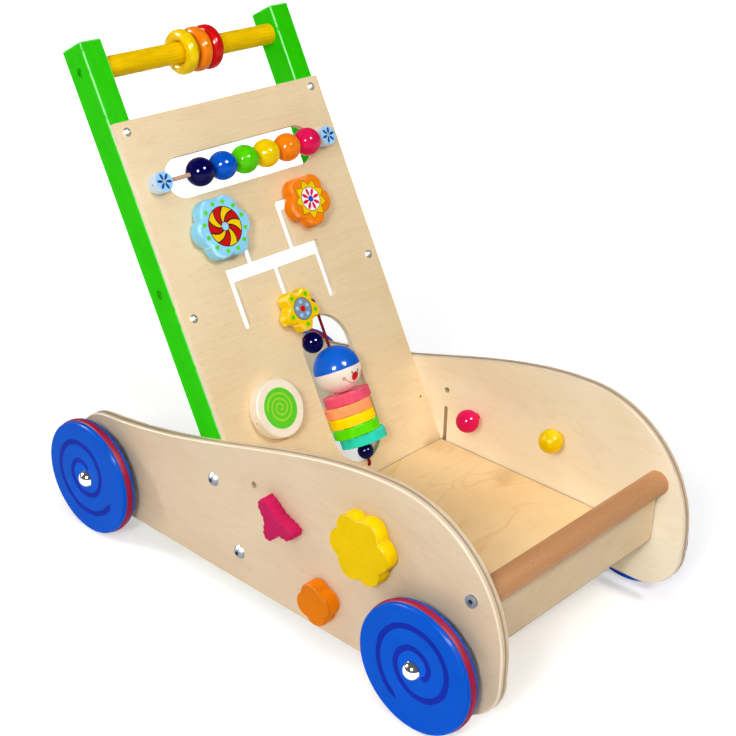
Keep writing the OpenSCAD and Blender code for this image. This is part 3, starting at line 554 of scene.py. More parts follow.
def bare_wood(name, tone, fleck_tone, grain, fleck, paint=None):
    """Clear-lacquered solid wood with fine fibres and short flecks along the grain."""
    made = Finish(name)
    along = made.along(grain)
    fibre = noise(along, (22.0, 420.0, 420.0), 3.0, 0.6)
    band = noise(along, (3.0, 60.0, 60.0))
    mark = step(noise(along, (260.0, 1300.0, 1300.0), 1.0), 0.6, 0.7)
    amount = (fibre * 0.35 + band * 0.35).maths("ADD", mark * fleck, clamp=True)
    base = over(amount, tone, fleck_tone)
    made.set(
        Base_Color=paint(made.at, base) if paint else base,
        Roughness=fibre * 0.15 + 0.34,
        Specular_IOR_Level=0.12,
        Coat_Weight=0.05,
        Coat_Roughness=0.25,
    )
    made.bump(fibre - mark, 0.2, 0.1 * MM)
    return made.material


def plated(name, tone, roughness, variation):
    """Plated steel with fine rubbing marks."""
    made = Finish(name)
    rub = noise(made.at, (900.0, 900.0, 120.0), 3.0, 0.6)
    base = tint(made.tree, tone, noise(made.at, 160.0) * 0.25 + 0.86)
    made.set(Base_Color=base, Metallic=1.0, Roughness=rub * variation + roughness)
    made.bump(rub, 0.06, 0.05 * MM)
    return made.material


def rubber():
    """Smooth red rubber with a slightly dusty skin."""
    made = Finish("Red rubber")
    dust = noise(made.at, 70.0, 4.0, 0.6)
    base = tint(made.tree, "tyre", dust * 0.3 + 0.84)
    made.set(Base_Color=base, Roughness=dust * 0.25 + 0.32, Specular_IOR_Level=0.06, Sheen_Weight=0.02)
    made.bump(noise(made.at, 900.0), 0.12, 0.08 * MM)
    return made.material


def braid():
    """Twisted red cotton."""
    made = Finish("Red cord")
    fibre = noise(made.at, 1800.0, 2.0, 0.7)
    made.set(Base_Color=tint(made.tree, "cord", fibre * 0.6 + 0.72), Roughness=0.8, Specular_IOR_Level=0.03)
    made.bump(fibre, 0.4, 0.2 * MM)
    return made.material


def placed(at, centre, *axes):
    """The place of a point along three axes, with the origin at centre."""
    off = moved(at, centre)
    return combine(*(dot(off, axis) for axis in axes))


def on_board(at, top):
    """A point's place seen from top, with X across the board and Y up it, and the mask of the face there."""
    flat = placed(at, top, ACROSS, UP, OUT)
    _, _, height = parts_of(flat)
    return flat, step(height, *FACE_FADE)


def pin_head(off):
    """A small sunk pin at the origin of the vector off."""
    away = add(off.tree, "ShaderNodeVectorMath", {0: off}, out="Value", operation="LENGTH")
    return within(away, 0.7 * MM, 0.15 * MM)


# Pieces


def piece(name, work, node, material, angle=40):
    """Makes a finished piece from a bmesh. It replaces a CAD node and rides on its body."""
    mesh = bpy.data.meshes.new(name)
    work.to_mesh(mesh)
    work.free()
    mesh.materials.append(material)
    mesh.shade_smooth()
    mesh.set_sharp_from_angle(angle=math.radians(angle))
    made = bpy.data.objects.new(name, mesh)
    bpy.context.scene.collection.objects.link(made)
    weighted = made.modifiers.new("Flat faces", "WEIGHTED_NORMAL")
    weighted.keep_sharp = True
    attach(made, BODY_OF[node])
    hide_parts(node)


def copied(node):
    """A merged copy of a CAD node's mesh, with its flat faces joined."""
    work = bmesh.new()
    work.from_mesh(frame["nodes"][node].data)
    bmesh.ops.remove_doubles(work, verts=work.verts, dist=0.01 * MM)
    bmesh.ops.dissolve_limit(
        work, angle_limit=math.radians(0.4), use_dissolve_boundaries=False, verts=work.verts, edges=work.edges
    )
    return work


def large_chains(edges, least):
    """Those of the edges that hang together over at least a given extent."""
    known, seen, kept = set(edges), set(), []
    for first in edges:
        if first in seen:
            continue
        seen.add(first)
        chain = [first]
        for edge in chain:
            near = [other for vert in edge.verts for other in vert.link_edges]
            near = [other for other in near if other in known and other not in seen]
            seen.update(near)
            chain += dict.fromkeys(near)
        spots = [vert.co for edge in chain for vert in edge.verts]
        if max(max(along) - min(along) for along in zip(*spots)) > least:
            kept += chain
    return kept


def round_edges(work, width, segments, angle=35, chosen=None, least=0.0):
    """Rounds the sharp edges of a bmesh and marks the new faces in the attribute edge.

    With least, the rims of holes and slots that reach less far than that stay sharp.
    """
    layer = work.faces.layers.float.get("edge") or work.faces.layers.float.new("edge")
    limit = math.radians(angle)
    sharp = [edge for edge in work.edges if len(edge.link_faces) == 2]
    sharp = [edge for edge in sharp if edge.calc_face_angle(0) > limit and (chosen is None or chosen(edge))]
    if least:
        sharp = large_chains(sharp, least)
    made = bmesh.ops.bevel(
        work,
        geom=sharp,
        offset=width,
        offset_type="OFFSET",
        affect="EDGES",
        segments=segments,
        profile=0.5,
        material=-1,
        clamp_overlap=not least,
    )
    for face in made["faces"]:
        face[layer] = 1.0
    return work


def softened(node, width, material, segments=3, least=0.0):
    """A CAD node with its sharp edges rounded."""
    work = round_edges(copied(node), width, segments, least=least)
    piece(node + "_wood", work, node, material)


def turned(profile, start, axis, steps=96):
    """A bmesh turned about an axis, from a profile of radius and distance along that axis."""
    axis = Vector(axis).normalized()
    side = axis.orthogonal().normalized()
    work = bmesh.new()
    verts = [work.verts.new(Vector(start) + side * radius + axis * place) for radius, place in profile]
    for ends in zip(verts, verts[1:]):
        work.edges.new(ends)
    line = [*work.verts, *work.edges]
    bmesh.ops.spin(work, geom=line, cent=start, axis=axis, angle=2 * math.pi, steps=steps, use_merge=True)
    bmesh.ops.remove_doubles(work, verts=work.verts, dist=1e-7)
    bmesh.ops.recalc_face_normals(work, faces=work.faces)
    return work


def join(work, part):
    """Adds the bmesh part to the bmesh work and frees it."""
    scratch = bpy.data.meshes.new("part")
    part.to_mesh(scratch)
    part.free()
    work.from_mesh(scratch)
    bpy.data.meshes.remove(scratch)


def only(kind, geom):
    """The items of one kind in what a bmesh operator returns."""
    return [item for item in geom if isinstance(item, kind)]


def verts_of(node):
    """The vertices of a CAD node."""
    return frame["nodes"][node].data.vertices


def around(verts, hub):
    """Radius about an axle through hub, and place along it, for each of some vertices."""
    return [(math.hypot(vert.co.x - hub.x, vert.co.z - hub.z), vert.co.y) for vert in verts]


def arc(middle, along, radius, first, last, count):
    """Points on an arc about a place in a profile; angles in degrees, 0 outwards and 90 along the axis."""
    turns = [math.radians(first + (last - first) * index / count) for index in range(count + 1)]
    return [(middle + radius * math.cos(turn), along + radius * math.sin(turn)) for turn in turns]


def drilled_ball(centre, axis, radius, hole, ease, rings, steps):
    """A ball with a hole along an axis, its mouths eased a little."""
    lift = math.degrees(math.acos((hole + ease) / radius))
    reach = radius * math.sin(math.radians(lift))
    profile = [(hole, ease - reach), *arc(0, 0, radius, -lift, lift, rings), (hole, reach - ease)]
    return turned([*profile, profile[0]], centre, axis, steps)


def board_box(node):
    """Lowest and highest corner of a CAD node in the board's own frame."""
    back = BOARD_FRAME.inverted()
    places = [back @ vert.co for vert in verts_of(node)]
    return [Vector([pick(along) for along in zip(*places)]) for pick in (min, max)]


def board_point(out, across, up):
    """A point of the board's own frame in the walker's."""
    return BOARD_FRAME @ Vector((out, across, up))


def route_point(point):
    """A point of a cord's route, or a bead's middle, in the walker's frame."""
    return board_point(*(Vector(point) * MM))


def finish_node(node, material):
    """Gives a CAD node that stays as it is a finish."""
    target = frame["nodes"][node]
    target.data.materials.clear()
    target.data.materials.append(material)


class WALKER_OT_ply(bpy.types.Operator):
    """Side panels, tray and play board of birch ply with rounded, layered edges"""

    bl_idname = "walker.ply"
    bl_label = "Ply panels"

    def execute(self, context):
        thin, skin = sizes().board_pitch, 0.6 * MM
        low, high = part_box("side_panel_left")
        side = slab_depth(ACROSS, low.y, high.y, both_sides=True)
        tones = ("panel", "panel_tan", "panel_core")
        # Rounded panel edges: partly sanded birch, partly a painted highlight
        # The inner faces get painted light, a paler copy of the panel birch
        extras = {"inner_face": low.y + skin, "end_grain": 0.75, "edge": "panel_edge"}
        panel = ply("Side panel birch", ON_PANEL, side, sizes().ply_pitch, tones, **extras)
        for name, _ in SIDES:
            softened("side_panel_" + name, sizes().ply_round, panel, least=PANEL_RIM)
        low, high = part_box("floor_panel")
        flat = slab_depth(UPRIGHT, low.z, high.z)
        tones = ("floor", "floor_tan", "ply_core")
        floor = ply("Floor birch", SIDEWAYS, flat, thin, tones, fleck=0.3, line=0.4, edge="seam")
        softened("floor_panel", sizes().joint_round, floor)
        low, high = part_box("front_panel")
        upright = slab_depth(FORWARD, low.x, high.x)
        # The front panel takes the darker birch, a painted shade
        tones = ("front", "front_tan", "ply_core")
        front = ply("Front birch", (ACROSS, UPRIGHT, FORWARD), upright, thin, tones, edge="seam")
        softened("front_panel", sizes().joint_round, front)
        low, high = board_box("activity_board")
        foot = BOARD_FOOT.dot(OUT)
        leaning = slab_depth(OUT, low.x + foot, high.x + foot)
        tones = ("birch", "birch_tan", "board_core")
        board = ply("Board birch", (ACROSS, UP, OUT), leaning, thin, tones, fleck=0.75, fibre=1.0)
        softened("activity_board", sizes().board_round, board, least=SMALL_RIM)
        return {"FINISHED"}


class WALKER_OT_handle(bpy.types.Operator):
    """Posts, handle bar, front rail and the loose rings"""

    bl_idname = "walker.handle"
    bl_label = "Posts and handle"

    def execute(self, context):
        # The posts' rounded edges are painted paler all along, as a painted highlight
        green = lacquer("Green lacquer", "green", UP_BOARD, strength=0.2, gloss=0.3, shine=0.0, wear_and_highlight=1.0)
        for name, _ in SIDES:
            softened("post_" + name, sizes().post_round, green, least=SMALL_RIM)
        amber = lacquer("Amber bar lacquer", "amber", ALONG_ROD, strength=0.6)
        softened("handle_bar", sizes().bar_round, amber)
        beech = bare_wood("Beech", "beech", "beech_fleck", SIDEWAYS, 0.4)
        softened("front_rail", sizes().dowel_round, beech)
        for name in ("yellow", "orange", "red"):
            finish = lacquer(f"Ring {name} lacquer", name, strength=0.2, gloss=0.12, shine=0.2)
            self.ring("ring_" + name, finish)
        return {"FINISHED"}

    def ring(self, node, material):
        """A ring with a round section, turned about the handle bar."""
        low, high = board_box(node)
        middle = (low + high) / 2
        bar_low, bar_high = board_box("handle_bar")
        outer, width, play = (high.z - low.z) / 2, high.y - low.y, 0.4 * MM
        hole = (bar_high.z - bar_low.z) / 2 + play
        section = (outer - hole) / 2
        reach = width / 2 - section
        profile = arc(hole + section, reach, section, 0, 180, 16)
        profile += arc(hole + section, -reach, section, 180, 360, 16)
        work = turned(profile + profile[:1], board_point(*middle), ACROSS)
        piece(node + "_turned", work, node, material)


class WALKER_OT_wheels(bpy.types.Operator):
    """Four painted wheels, their rubber tyres and chrome caps"""

    bl_idname = "walker.wheels"
    bl_label = "Wheels"

    def execute(self, context):
        tyre, chrome = rubber(), plated("Chrome", "steel", 0.05, 0.05)
        for end, first_turn in zip(ENDS, (-0.125, 0.13)):
            for name, side in SIDES:
                spot = f"{end}_{name}"
                hub = Vector(JOINTS[f"wheel_{spot}_body_spin"]["pos_m"])
                self.wheel(spot, hub, side, first_turn)
                self.tyre(spot, hub, tyre)
        self.caps(chrome)
        return {"FINISHED"}

    def wheel(self, spot, hub, side, first_turn):
        """A wheel turned about its axle, with a groove for the tyre and a spiral painted on its face."""
        node, snug, hair = "wheel_" + spot, 0.05 * MM, 0.01 * MM
        spread, tyre = around(verts_of(node), hub), around(verts_of("tyre_" + spot), hub)
        face = side * max(side * place for _, place in spread)

        def depth(place):
            return side * (face - place)

        rim, bore = max(spread)[0], min(spread)[0]
        thick = max(depth(place) for radius, place in spread if radius > 0.8 * rim)
        deep = max(depth(place) for _, place in spread)
        boss = max(radius for radius, place in spread if depth(place) > thick + 10 * hair)
        seat = min(tyre)[0] - snug
        lip, lip_end = (pick(depth(place) for _, place in tyre) for pick in (min, max))
        profile = [(bore, 0), (rim, 0), (rim, lip), (seat, lip), (seat, lip_end), (rim, lip_end)]
        profile += [(rim, thick), (boss, thick), (boss, deep), (bore, deep), (bore, 0)]
        start = Vector((hub.x, face, hub.z))
        work = turned(profile, start, (0, -side, 0), 128)

        def at_face(edge):
            """Whether an edge runs round the rim at one of the wheel's two faces."""
            ends = around(edge.verts, hub)
            flush = all(min(depth(place), abs(depth(place) - thick)) < hair for _, place in ends)
            return flush and min(ends)[0] > 0.95 * rim

        size = sizes()
        round_edges(work, size.rim_round, 4, chosen=at_face)
        # The middle of the painted line lies off the hub, about a quarter turn from where the line starts
        lean = 2 * math.pi * (first_turn + 0.24)
        middle = start + Vector((-side * math.cos(lean), 0, math.sin(lean))) * size.spiral_off
        drawing = {"Start": size.spiral_start, "Pitch": size.spiral_pitch, "Width": size.spiral_width}

        def spiral(at, base):
            flat = placed(at, middle, (-side, 0, 0), (0, 0, 1), (0, side, 0))
            _, _, height = parts_of(flat)
            line = use("Spiral", flat, Turns=1.81, Turn=first_turn, **drawing)["Mask"]
            return over(line * step(height, -0.6 * MM, -0.3 * MM), base, "spiral")

        finish = lacquer(f"Wheel {spot} lacquer", "blue", gloss=0.3, strength=0.1, paint=spiral, wear_and_highlight=0.15)
        piece(node + "_turned", work, node, finish)

    def tyre(self, spot, hub, material):
        """A tyre moulded with rounded shoulders."""
        node = "tyre_" + spot
        spread = around(verts_of(node), hub)
        outer, inner = max(spread)[0], min(spread)[0]
        low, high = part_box(node)
        width, edge = high.y - low.y, 2.1 * MM
        profile = [(inner, 0), (inner, width), *arc(outer - edge, width - edge, edge, 90, 0, 6)]
        profile += [*arc(outer - edge, edge, edge, 0, -90, 6), (inner, 0)]
        work = turned(profile, Vector((hub.x, low.y, hub.z)), ACROSS, 128)
        piece(node + "_moulded", work, node, material)

    def caps(self, material):
        """Domed caps with a thin brim on the axle ends, as one piece."""
        work = bmesh.new()
        low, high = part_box("axle_caps")
        tall, radius, bore, ease, brim = 6.5 * MM, 8.5 * MM, 4.05 * MM, 0.3 * MM, 0.5 * MM
        ball = (radius**2 + tall**2) / (2 * tall)
        lift = math.degrees(math.asin((ball - tall) / ball))
        dome = [point for point in arc(0, tall - ball, ball, lift, 90, 14) if point[1] > brim]
        profile = [(bore, 0), (radius - ease, 0), (radius, ease), *dome[:-1], (0, tall)]
        for end in ENDS:
            for name, side in SIDES:
                hub = Vector(JOINTS[f"wheel_{end}_{name}_body_spin"]["pos_m"])
                tip = high.y if side > 0 else -low.y
                start = Vector((hub.x, side * (tip - tall), hub.z))
                join(work, turned(profile, start, (0, side, 0), 48))
        piece("axle_caps_domed", work, "axle_caps", material)


class WALKER_OT_fasteners(bpy.types.Operator):
    """Screws, bolts and stub axles of plated steel"""

    bl_idname = "walker.fasteners"
    bl_label = "Fasteners"

    def execute(self, context):
        finish_node("wood_screws", plated("Dull zinc", "dull_zinc", 0.34, 0.2))
        zinc = plated("Zinc plate", "zinc", 0.24, 0.15)
        for node in ("panel_bolts", "axles"):
            finish_node(node, zinc)
        return {"FINISHED"}


class WALKER_OT_abacus(bpy.types.Operator):
    """Rod, end knobs with a painted flower and six glossy beads"""

    bl_idname = "walker.abacus"
    bl_label = "Abacus"

    def execute(self, context):
        low, high = board_box("abacus_knobs")
        radius = (high.z - low.z) / 2
        spread = (high.y - low.y) / 2 - radius
        self.rod(spread, bare_wood("Rod wood", "rod", "beech_fleck", ALONG_ROD, 0.3))
        self.knobs(low, high, radius, spread)
        for name in ("navy", "blue", "leaf", "yellow", "orange", "pink"):
            node = "bead_" + {"leaf": "green"}.get(name, name)
            finish = lacquer(f"Bead {name} lacquer", name, ALONG_ROD, strength=0.1, gloss=0.08, shine=0.2)
            self.bead(node, finish)
        return {"FINISHED"}

    def rod(self, spread, material):
        """A thin rod held between the two knobs."""
        low, high = board_box("abacus_rod")
        thick, middle = (high.z - low.z) / 2, (low + high) / 2
        start = board_point(middle.x, -spread, middle.z)
        work = turned([(0, 0), (thick, 0), (thick, 2 * spread), (0, 2 * spread)], start, ACROSS, 24)
        piece("abacus_rod_turned", work, "abacus_rod", material)

    def knobs(self, low, high, radius, spread):
        """Two round knobs with a flower on their faces and a pin in their outer sides."""
        tall, edge, level = high.x - low.x, 0.9 * MM, (low.z + high.z) / 2
        profile = [(0, 0), (radius, 0), *arc(radius - edge, tall - edge, edge, 0, 90, 5), (0, tall)]
        work = bmesh.new()
        for _, side in SIDES:
            join(work, turned(profile, board_point(low.x, side * spread, level), OUT, 48))
        top = board_point(high.x, 0, level)
        petal = {"Inner": 1.2 * MM, "Outer": 7.6 * MM, "Half_width": 1.5 * MM, "Turn": 0.03}

        def flower(at, base):
            x, y, z = parts_of(placed(at, top, ACROSS, UP, OUT))
            fold, face = abs(x) - spread, step(z, -0.5 * MM, -0.2 * MM)
            local = combine(fold, y)
            heart = within(use("Polar", local)["Radius"], 1.15 * MM, 0.15 * MM)
            return painted(
                tint(at.tree, base, 0.98, 0.45),
                (face, base),
                (use("Petal ring", local, Count=6.0, **petal)["Mask"] * face, "petal"),
                (heart * face, "heart"),
                (pin_head(combine(fold - radius, y, z + tall / 2)), "ink"),
            )

        finish = lacquer("Knob pale lacquer", "pale_blue", OUT_OF_BOARD, gloss=0.32, paint=flower)
        piece("abacus_knobs_turned", work, "abacus_knobs", finish)

    def bead(self, node, material):
        """A ball with a drilled hole along the rod."""
        low, high = board_box(node)
        radius, hole, ease = (high.z - low.z) / 2, 2.2 * MM, 0.3 * MM
        work = drilled_ball(board_point(*(low + high) / 2), ACROSS, radius, hole, ease, 40, 64)
        piece(node + "_turned", work, node, material)


class WALKER_OT_sliders(bpy.types.Operator):
    """Maze sliders with a printed motif, and the pegs that keep them on the board"""

    bl_idname = "walker.sliders"
    bl_label = "Maze sliders"

    def execute(self, context):
        peg = bare_wood("Peg wood", "maple", "maple_tan", OUT_OF_BOARD, 0.3)
        prints = {
            "blue": ("sky", self.pinwheel, 1.2),
            "orange": ("orange", self.sun, 1.22),
            "yellow": ("yellow", self.dots, 1.12),
        }
        for name, (tone, motif, scale) in prints.items():
            low, high = board_box("keeper_" + name)
            centre = (low + high) / 2
            top = board_point(board_box("slider_" + name)[1].x, centre.y, centre.z - sizes().slider_drop)
            paint = self.on_face(top, motif, scale)
            finish = lacquer(f"Slider {name} lacquer", tone, gloss=0.3, strength=0.1, paint=paint)
            softened("slider_" + name, sizes().slider_round, finish, 5, least=SMALL_RIM)
            softened("keeper_" + name, sizes().dowel_round, peg)
        return {"FINISHED"}

    def on_face(self, top, motif, scale):
        """Lays a motif, drawn larger by scale, on the flat face at top."""

        def paint(at, base):
            flat, face = on_board(at, top)
            drawn = add(at.tree, "ShaderNodeVectorMath", {0: flat, "Scale": 1 / scale}, operation="SCALE")
            return over(face, base, motif(drawn, base))

        return paint

    def dot_ring(self, flat, count, radius, size, turn):
        """Round dots on a circle."""
        along, side = spoke(flat, count, turn)
        return within(use("Polar", combine(along - radius, side))["Radius"], size)

    def pinwheel(self, flat, base):
        """Red and yellow curved vanes with dark outlines, in a green ring of dots."""
        polar = use("Polar", flat)
        radius = polar["Radius"]
        vane = ((polar["Angle"] + radius * 9.0) * 10.0).maths("PINGPONG", 1.0)
        disc = within(radius, 15 * MM)
        seam = abs(vane - 0.5).maths("LESS_THAN", 1.1 * MM / (radius + 0.8 * MM))
        return painted(
            base,
            (disc, over(step(vane, 0.49, 0.51), "red", "yellow")),
            (seam * disc, "ink"),
            (within(radius, 15.3 * MM) - within(radius, 14.6 * MM), "ink"),
            (within(radius, 3.52 * MM), "ink"),
            (within(radius, 3.02 * MM), "pale_blue"),
            (self.dot_ring(flat, 12, 18.6 * MM, 1.7 * MM, 0.04), "leaf"),
        )

    def sun(self, flat, base):
        """A pink and white rosette with yellow rays."""
        polar = use("Polar", flat)
        radius = polar["Radius"]
        ray = (polar["Angle"] * 18.0).maths("PINGPONG", 1.0)
        beyond = radius - (ray * (4.6 * MM) + 10.4 * MM)
        petal = {"Inner": 2.4 * MM, "Outer": 8.6 * MM, "Half_width": 1.5 * MM, "Turn": 0.03}
        return painted(
            base,
            (within(beyond, 0.47 * MM), "ink"),
            (within(beyond, 0.0), "yellow"),
            (within(radius, 9.42 * MM), "ink"),
            (within(radius, 8.94 * MM), "white"),
            (use("Petal ring", flat, Count=8.0, **petal)["Mask"], "pink"),
            (within(radius, 2.44 * MM), "blue"),
        )

    def dots(self, flat, base):
        """A grey-blue wheel with red and green dots."""
        radius = use("Polar", flat)["Radius"]
        return painted(
            base,
            (within(radius, 9.52 * MM), "ink"),
            (within(radius, 9.04 * MM), "slate"),
            (self.dot_ring(flat, 5, 5.8 * MM, 1.7 * MM, 0.25), "pale_blue"),
            (within(radius, 2.64 * MM), "red"),
            (self.dot_ring(flat, 5, 13.2 * MM, 1.9 * MM, 0.15), "leaf"),
        )


class WALKER_OT_knob(bpy.types.Operator):
    """Wooden knob with a green face and a fine spiral, on its spindle"""

    bl_idname = "walker.knob"
    bl_label = "Spiral knob"

    def execute(self, context):
        low, high = board_box("spiral_knob")
        radius, tall = (high.y - low.y) / 2, high.x - low.x
        bore, bite, edge = 4.05 * MM, 7.2 * MM, 1.5 * MM
        base = board_point(low.x, (low.y + high.y) / 2, (low.z + high.z) / 2)
        profile = [(0, bite), (bore, bite), (bore, 0), *arc(radius - edge, edge, edge, -90, 0, 5)]
        profile += [*arc(radius - edge, tall - edge, edge, 0, 90, 5), (0, tall)]
        work = turned(profile, base, OUT, 128)
        top = base + OUT * tall
        pin = base + (OUT * 0.5 * tall - (ACROSS * 0.98 + UP * 0.19) * radius)
        drawing = {"Start": 1.0 * MM, "Pitch": 4.9 * MM, "Turns": 2.86, "Width": 1.9 * MM, "Turn": 0.64}

        def face(at, tone):
            flat, front = on_board(at, top)
            disc = within(use("Polar", flat)["Radius"], 18.7 * MM, 0.1 * MM)
            green = over(use("Spiral", flat, **drawing)["Mask"], "leaf", "lime")
            return painted(tone, (disc * front, green), (pin_head(moved(at, pin)), "beech_fleck"))

        finish = bare_wood("Knob wood", "maple", "maple_tan", ALONG_ROD, 0.35, paint=face)
        piece("spiral_knob_turned", work, "spiral_knob", finish)
        softened("knob_spindle", sizes().dowel_round, bpy.data.materials["Peg wood"])
        return {"FINISHED"}


class WALKER_OT_doll(bpy.types.Operator):
    """Doll with a painted head, five loose discs, two beads and a twisted cord"""

    bl_idname = "walker.doll"
    bl_label = "Doll"

    def execute(self, context):
        self.head()
        for name in ("pink", "orange", "yellow", "leaf", "teal"):
            node = "doll_disc_" + {"leaf": "green"}.get(name, name)
            rich = {"pink": 0.9, "orange": 0.87}.get(name, 1.0)
            looks = {"strength": 0.35, "gloss": 0.24, "lift": 1.25, "rich": rich}
            self.disc(node, lacquer(f"Disc {name} lacquer", name, UP_BOARD, **looks))
        self.beads(lacquer("Cord bead lacquer", "navy", UP_BOARD, gloss=0.08, shine=0.2))
        self.cord()
        return {"FINISHED"}

    def beads(self, material):
        """The bead under the discs and the bead on the pull strand, as one piece."""
        first, last = (route_point(point) for point in PULL_ROUTE)
        hole, ease = 1.55 * MM, 0.3 * MM
        work = bmesh.new()
        for (middle, radius), axis in ((FOOT_BEAD, UP), (PULL_BEAD, last - first)):
            join(work, drilled_ball(route_point(middle), axis, radius * MM, hole, ease, 32, 64))
        piece("cord_beads_turned", work, "cord_beads", material)

    def head(self):
        """A ball with a blue cap and a smiling face."""
        centre = Vector(JOINTS["doll_head_body_spin"]["pos_m"])
        low, high = board_box("doll_head")
        radius, hole, ease = (high.y - low.y) / 2, 1.7 * MM, 0.4 * MM
        work = drilled_ball(centre, UP, radius, hole, ease, 64, 96)

        def face(at, base):
            # Longitude 0 looks straight out of the board; latitude 0 is the cap's rim. Both in degrees.
            x, y, z = parts_of(placed(at, centre, OUT, ACROSS, UP))
            latitude = (z / radius).maths("ARCSINE") * math.degrees(1)
            longitude = y.maths("ARCTAN2", x) * math.degrees(1)

            def blot(across, up, wide, tall):
                spot = combine((longitude - across) / wide, (latitude - up) / tall)
                return within(use("Polar", spot)["Radius"], 1.0, 0.06)

            def smile(across, up, wide, drop, thick):
                x = (longitude - across) / wide
                off = abs(latitude - (x * x * drop + up))
                return within(off, thick, 0.2 * thick) * within(abs(x), 1.0, 0.03)

            return painted(
                base,
                *((blot(across, -23.0, 5.5, 5.0) * 0.55, "pink") for across in (-32.0, 38.0)),
                (smile(3.0, -46.0, 32.0, 20.0, 1.0), "red"),
                *((blot(across, -15.0, 1.7, 4.5), "ink") for across in (-7.0, 13.0)),
                (blot(3.0, -27.0, 12.5, 11.0), "red"),
                (step(latitude, -0.3, 0.3), "cap"),
            )

        finish = lacquer("Head paint", "cream", UP_BOARD, strength=0.06, gloss=0.3, shine=0.2, paint=face)
        piece("doll_head_turned", work, "doll_head", finish)

    def disc(self, node, material):
        """A flat disc that is loose on the cord."""
        low, high = board_box(node)
        outer, tall, hole = (high.y - low.y) / 2, high.z - low.z, 4.8 * MM
        middle = (low + high) / 2
        profile = [(hole, 0), (outer, 0), (outer, tall), (hole, tall), (hole, 0)]
        work = turned(profile, board_point(middle.x, middle.y, low.z), UP)
        piece(node + "_turned", round_edges(work, sizes().disc_round, 3), node, material)

    def cord(self):
        """Twisted strands along each route, with a knot behind the board at both ends of the long one."""
        work, knot = bmesh.new(), 3.4 * MM
        for route in (CORD_ROUTE, PULL_ROUTE):
            self.twist(work, [route_point(point) for point in route])
        for end in (CORD_ROUTE[0], CORD_ROUTE[-1]):
            self.knot(work, route_point(end), knot)
        piece("doll_cord_twisted", work, "doll_cord", braid(), angle=80)

    def frames(self, points):
        """Places along a route with rounded corners, each turned a little further than the last."""
        bend, stride, lay = 1.7 * MM, 0.7 * MM, 7.5 * MM
        path = [points[0]]
        for before, corner, after in zip(points, points[1:], points[2:]):
            back, ahead = (before - corner).normalized(), (after - corner).normalized()
            path += [corner + back * bend, corner + (back + ahead) * bend * 0.29, corner + ahead * bend]
        path.append(points[-1])
        side = (path[1] - path[0]).orthogonal().normalized()
        turn, made = 0.0, []
        for here, there in zip(path, path[1:]):
            reach, ahead = (there - here).length, (there - here).normalized()
            side = (side - ahead * side.dot(ahead)).normalized()
            count = max(1, round(reach / stride))
            for index in range(count):
                made.append((here.lerp(there, index / count), ahead, side, turn))
                turn += reach / count / lay * 2 * math.pi
        made.append((path[-1], ahead, side, turn))
        for place, ahead, side, turn in made:
            first = side * math.cos(turn) + ahead.cross(side) * math.sin(turn)
            axes = Matrix((first, ahead.cross(first), ahead)).transposed().to_4x4()
            yield Matrix.Translation(place) @ axes

    def twist(self, work, points):
        """Three strands, each a small circle drawn along the route."""
        strand = sizes().strand
        frames = list(self.frames(points))
        for number in range(3):
            turn = Matrix.Rotation(number * 2 * math.pi / 3, 4, "Z")
            start = frames[0] @ (turn @ Matrix.Translation((strand * 0.42, 0, 0)))
            ring = bmesh.ops.create_circle(work, cap_ends=True, segments=8, radius=strand / 2, matrix=start)
            edges = list({edge for vert in ring["verts"] for edge in vert.link_edges})
            for here, there in zip(frames, frames[1:]):
                drawn = bmesh.ops.extrude_edge_only(work, edges=edges)["geom"]
                verts = only(bmesh.types.BMVert, drawn)
                edges = only(bmesh.types.BMEdge, drawn)
                edges = [edge for edge in edges if all(vert in verts for vert in edge.verts)]
                bmesh.ops.transform(work, matrix=there @ here.inverted(), verts=verts)
            bmesh.ops.contextual_create(work, geom=edges)
        bmesh.ops.recalc_face_normals(work, faces=work.faces)

    def knot(self, work, centre, radius):
        """A round knot of three crossed turns."""
        profile = arc(radius * 0.55, 0, radius * 0.45, 0, 360, 10)
        for axis in (OUT, OUT + UP * 1.2, UP + ACROSS):
            join(work, turned(profile, centre, axis, 20))


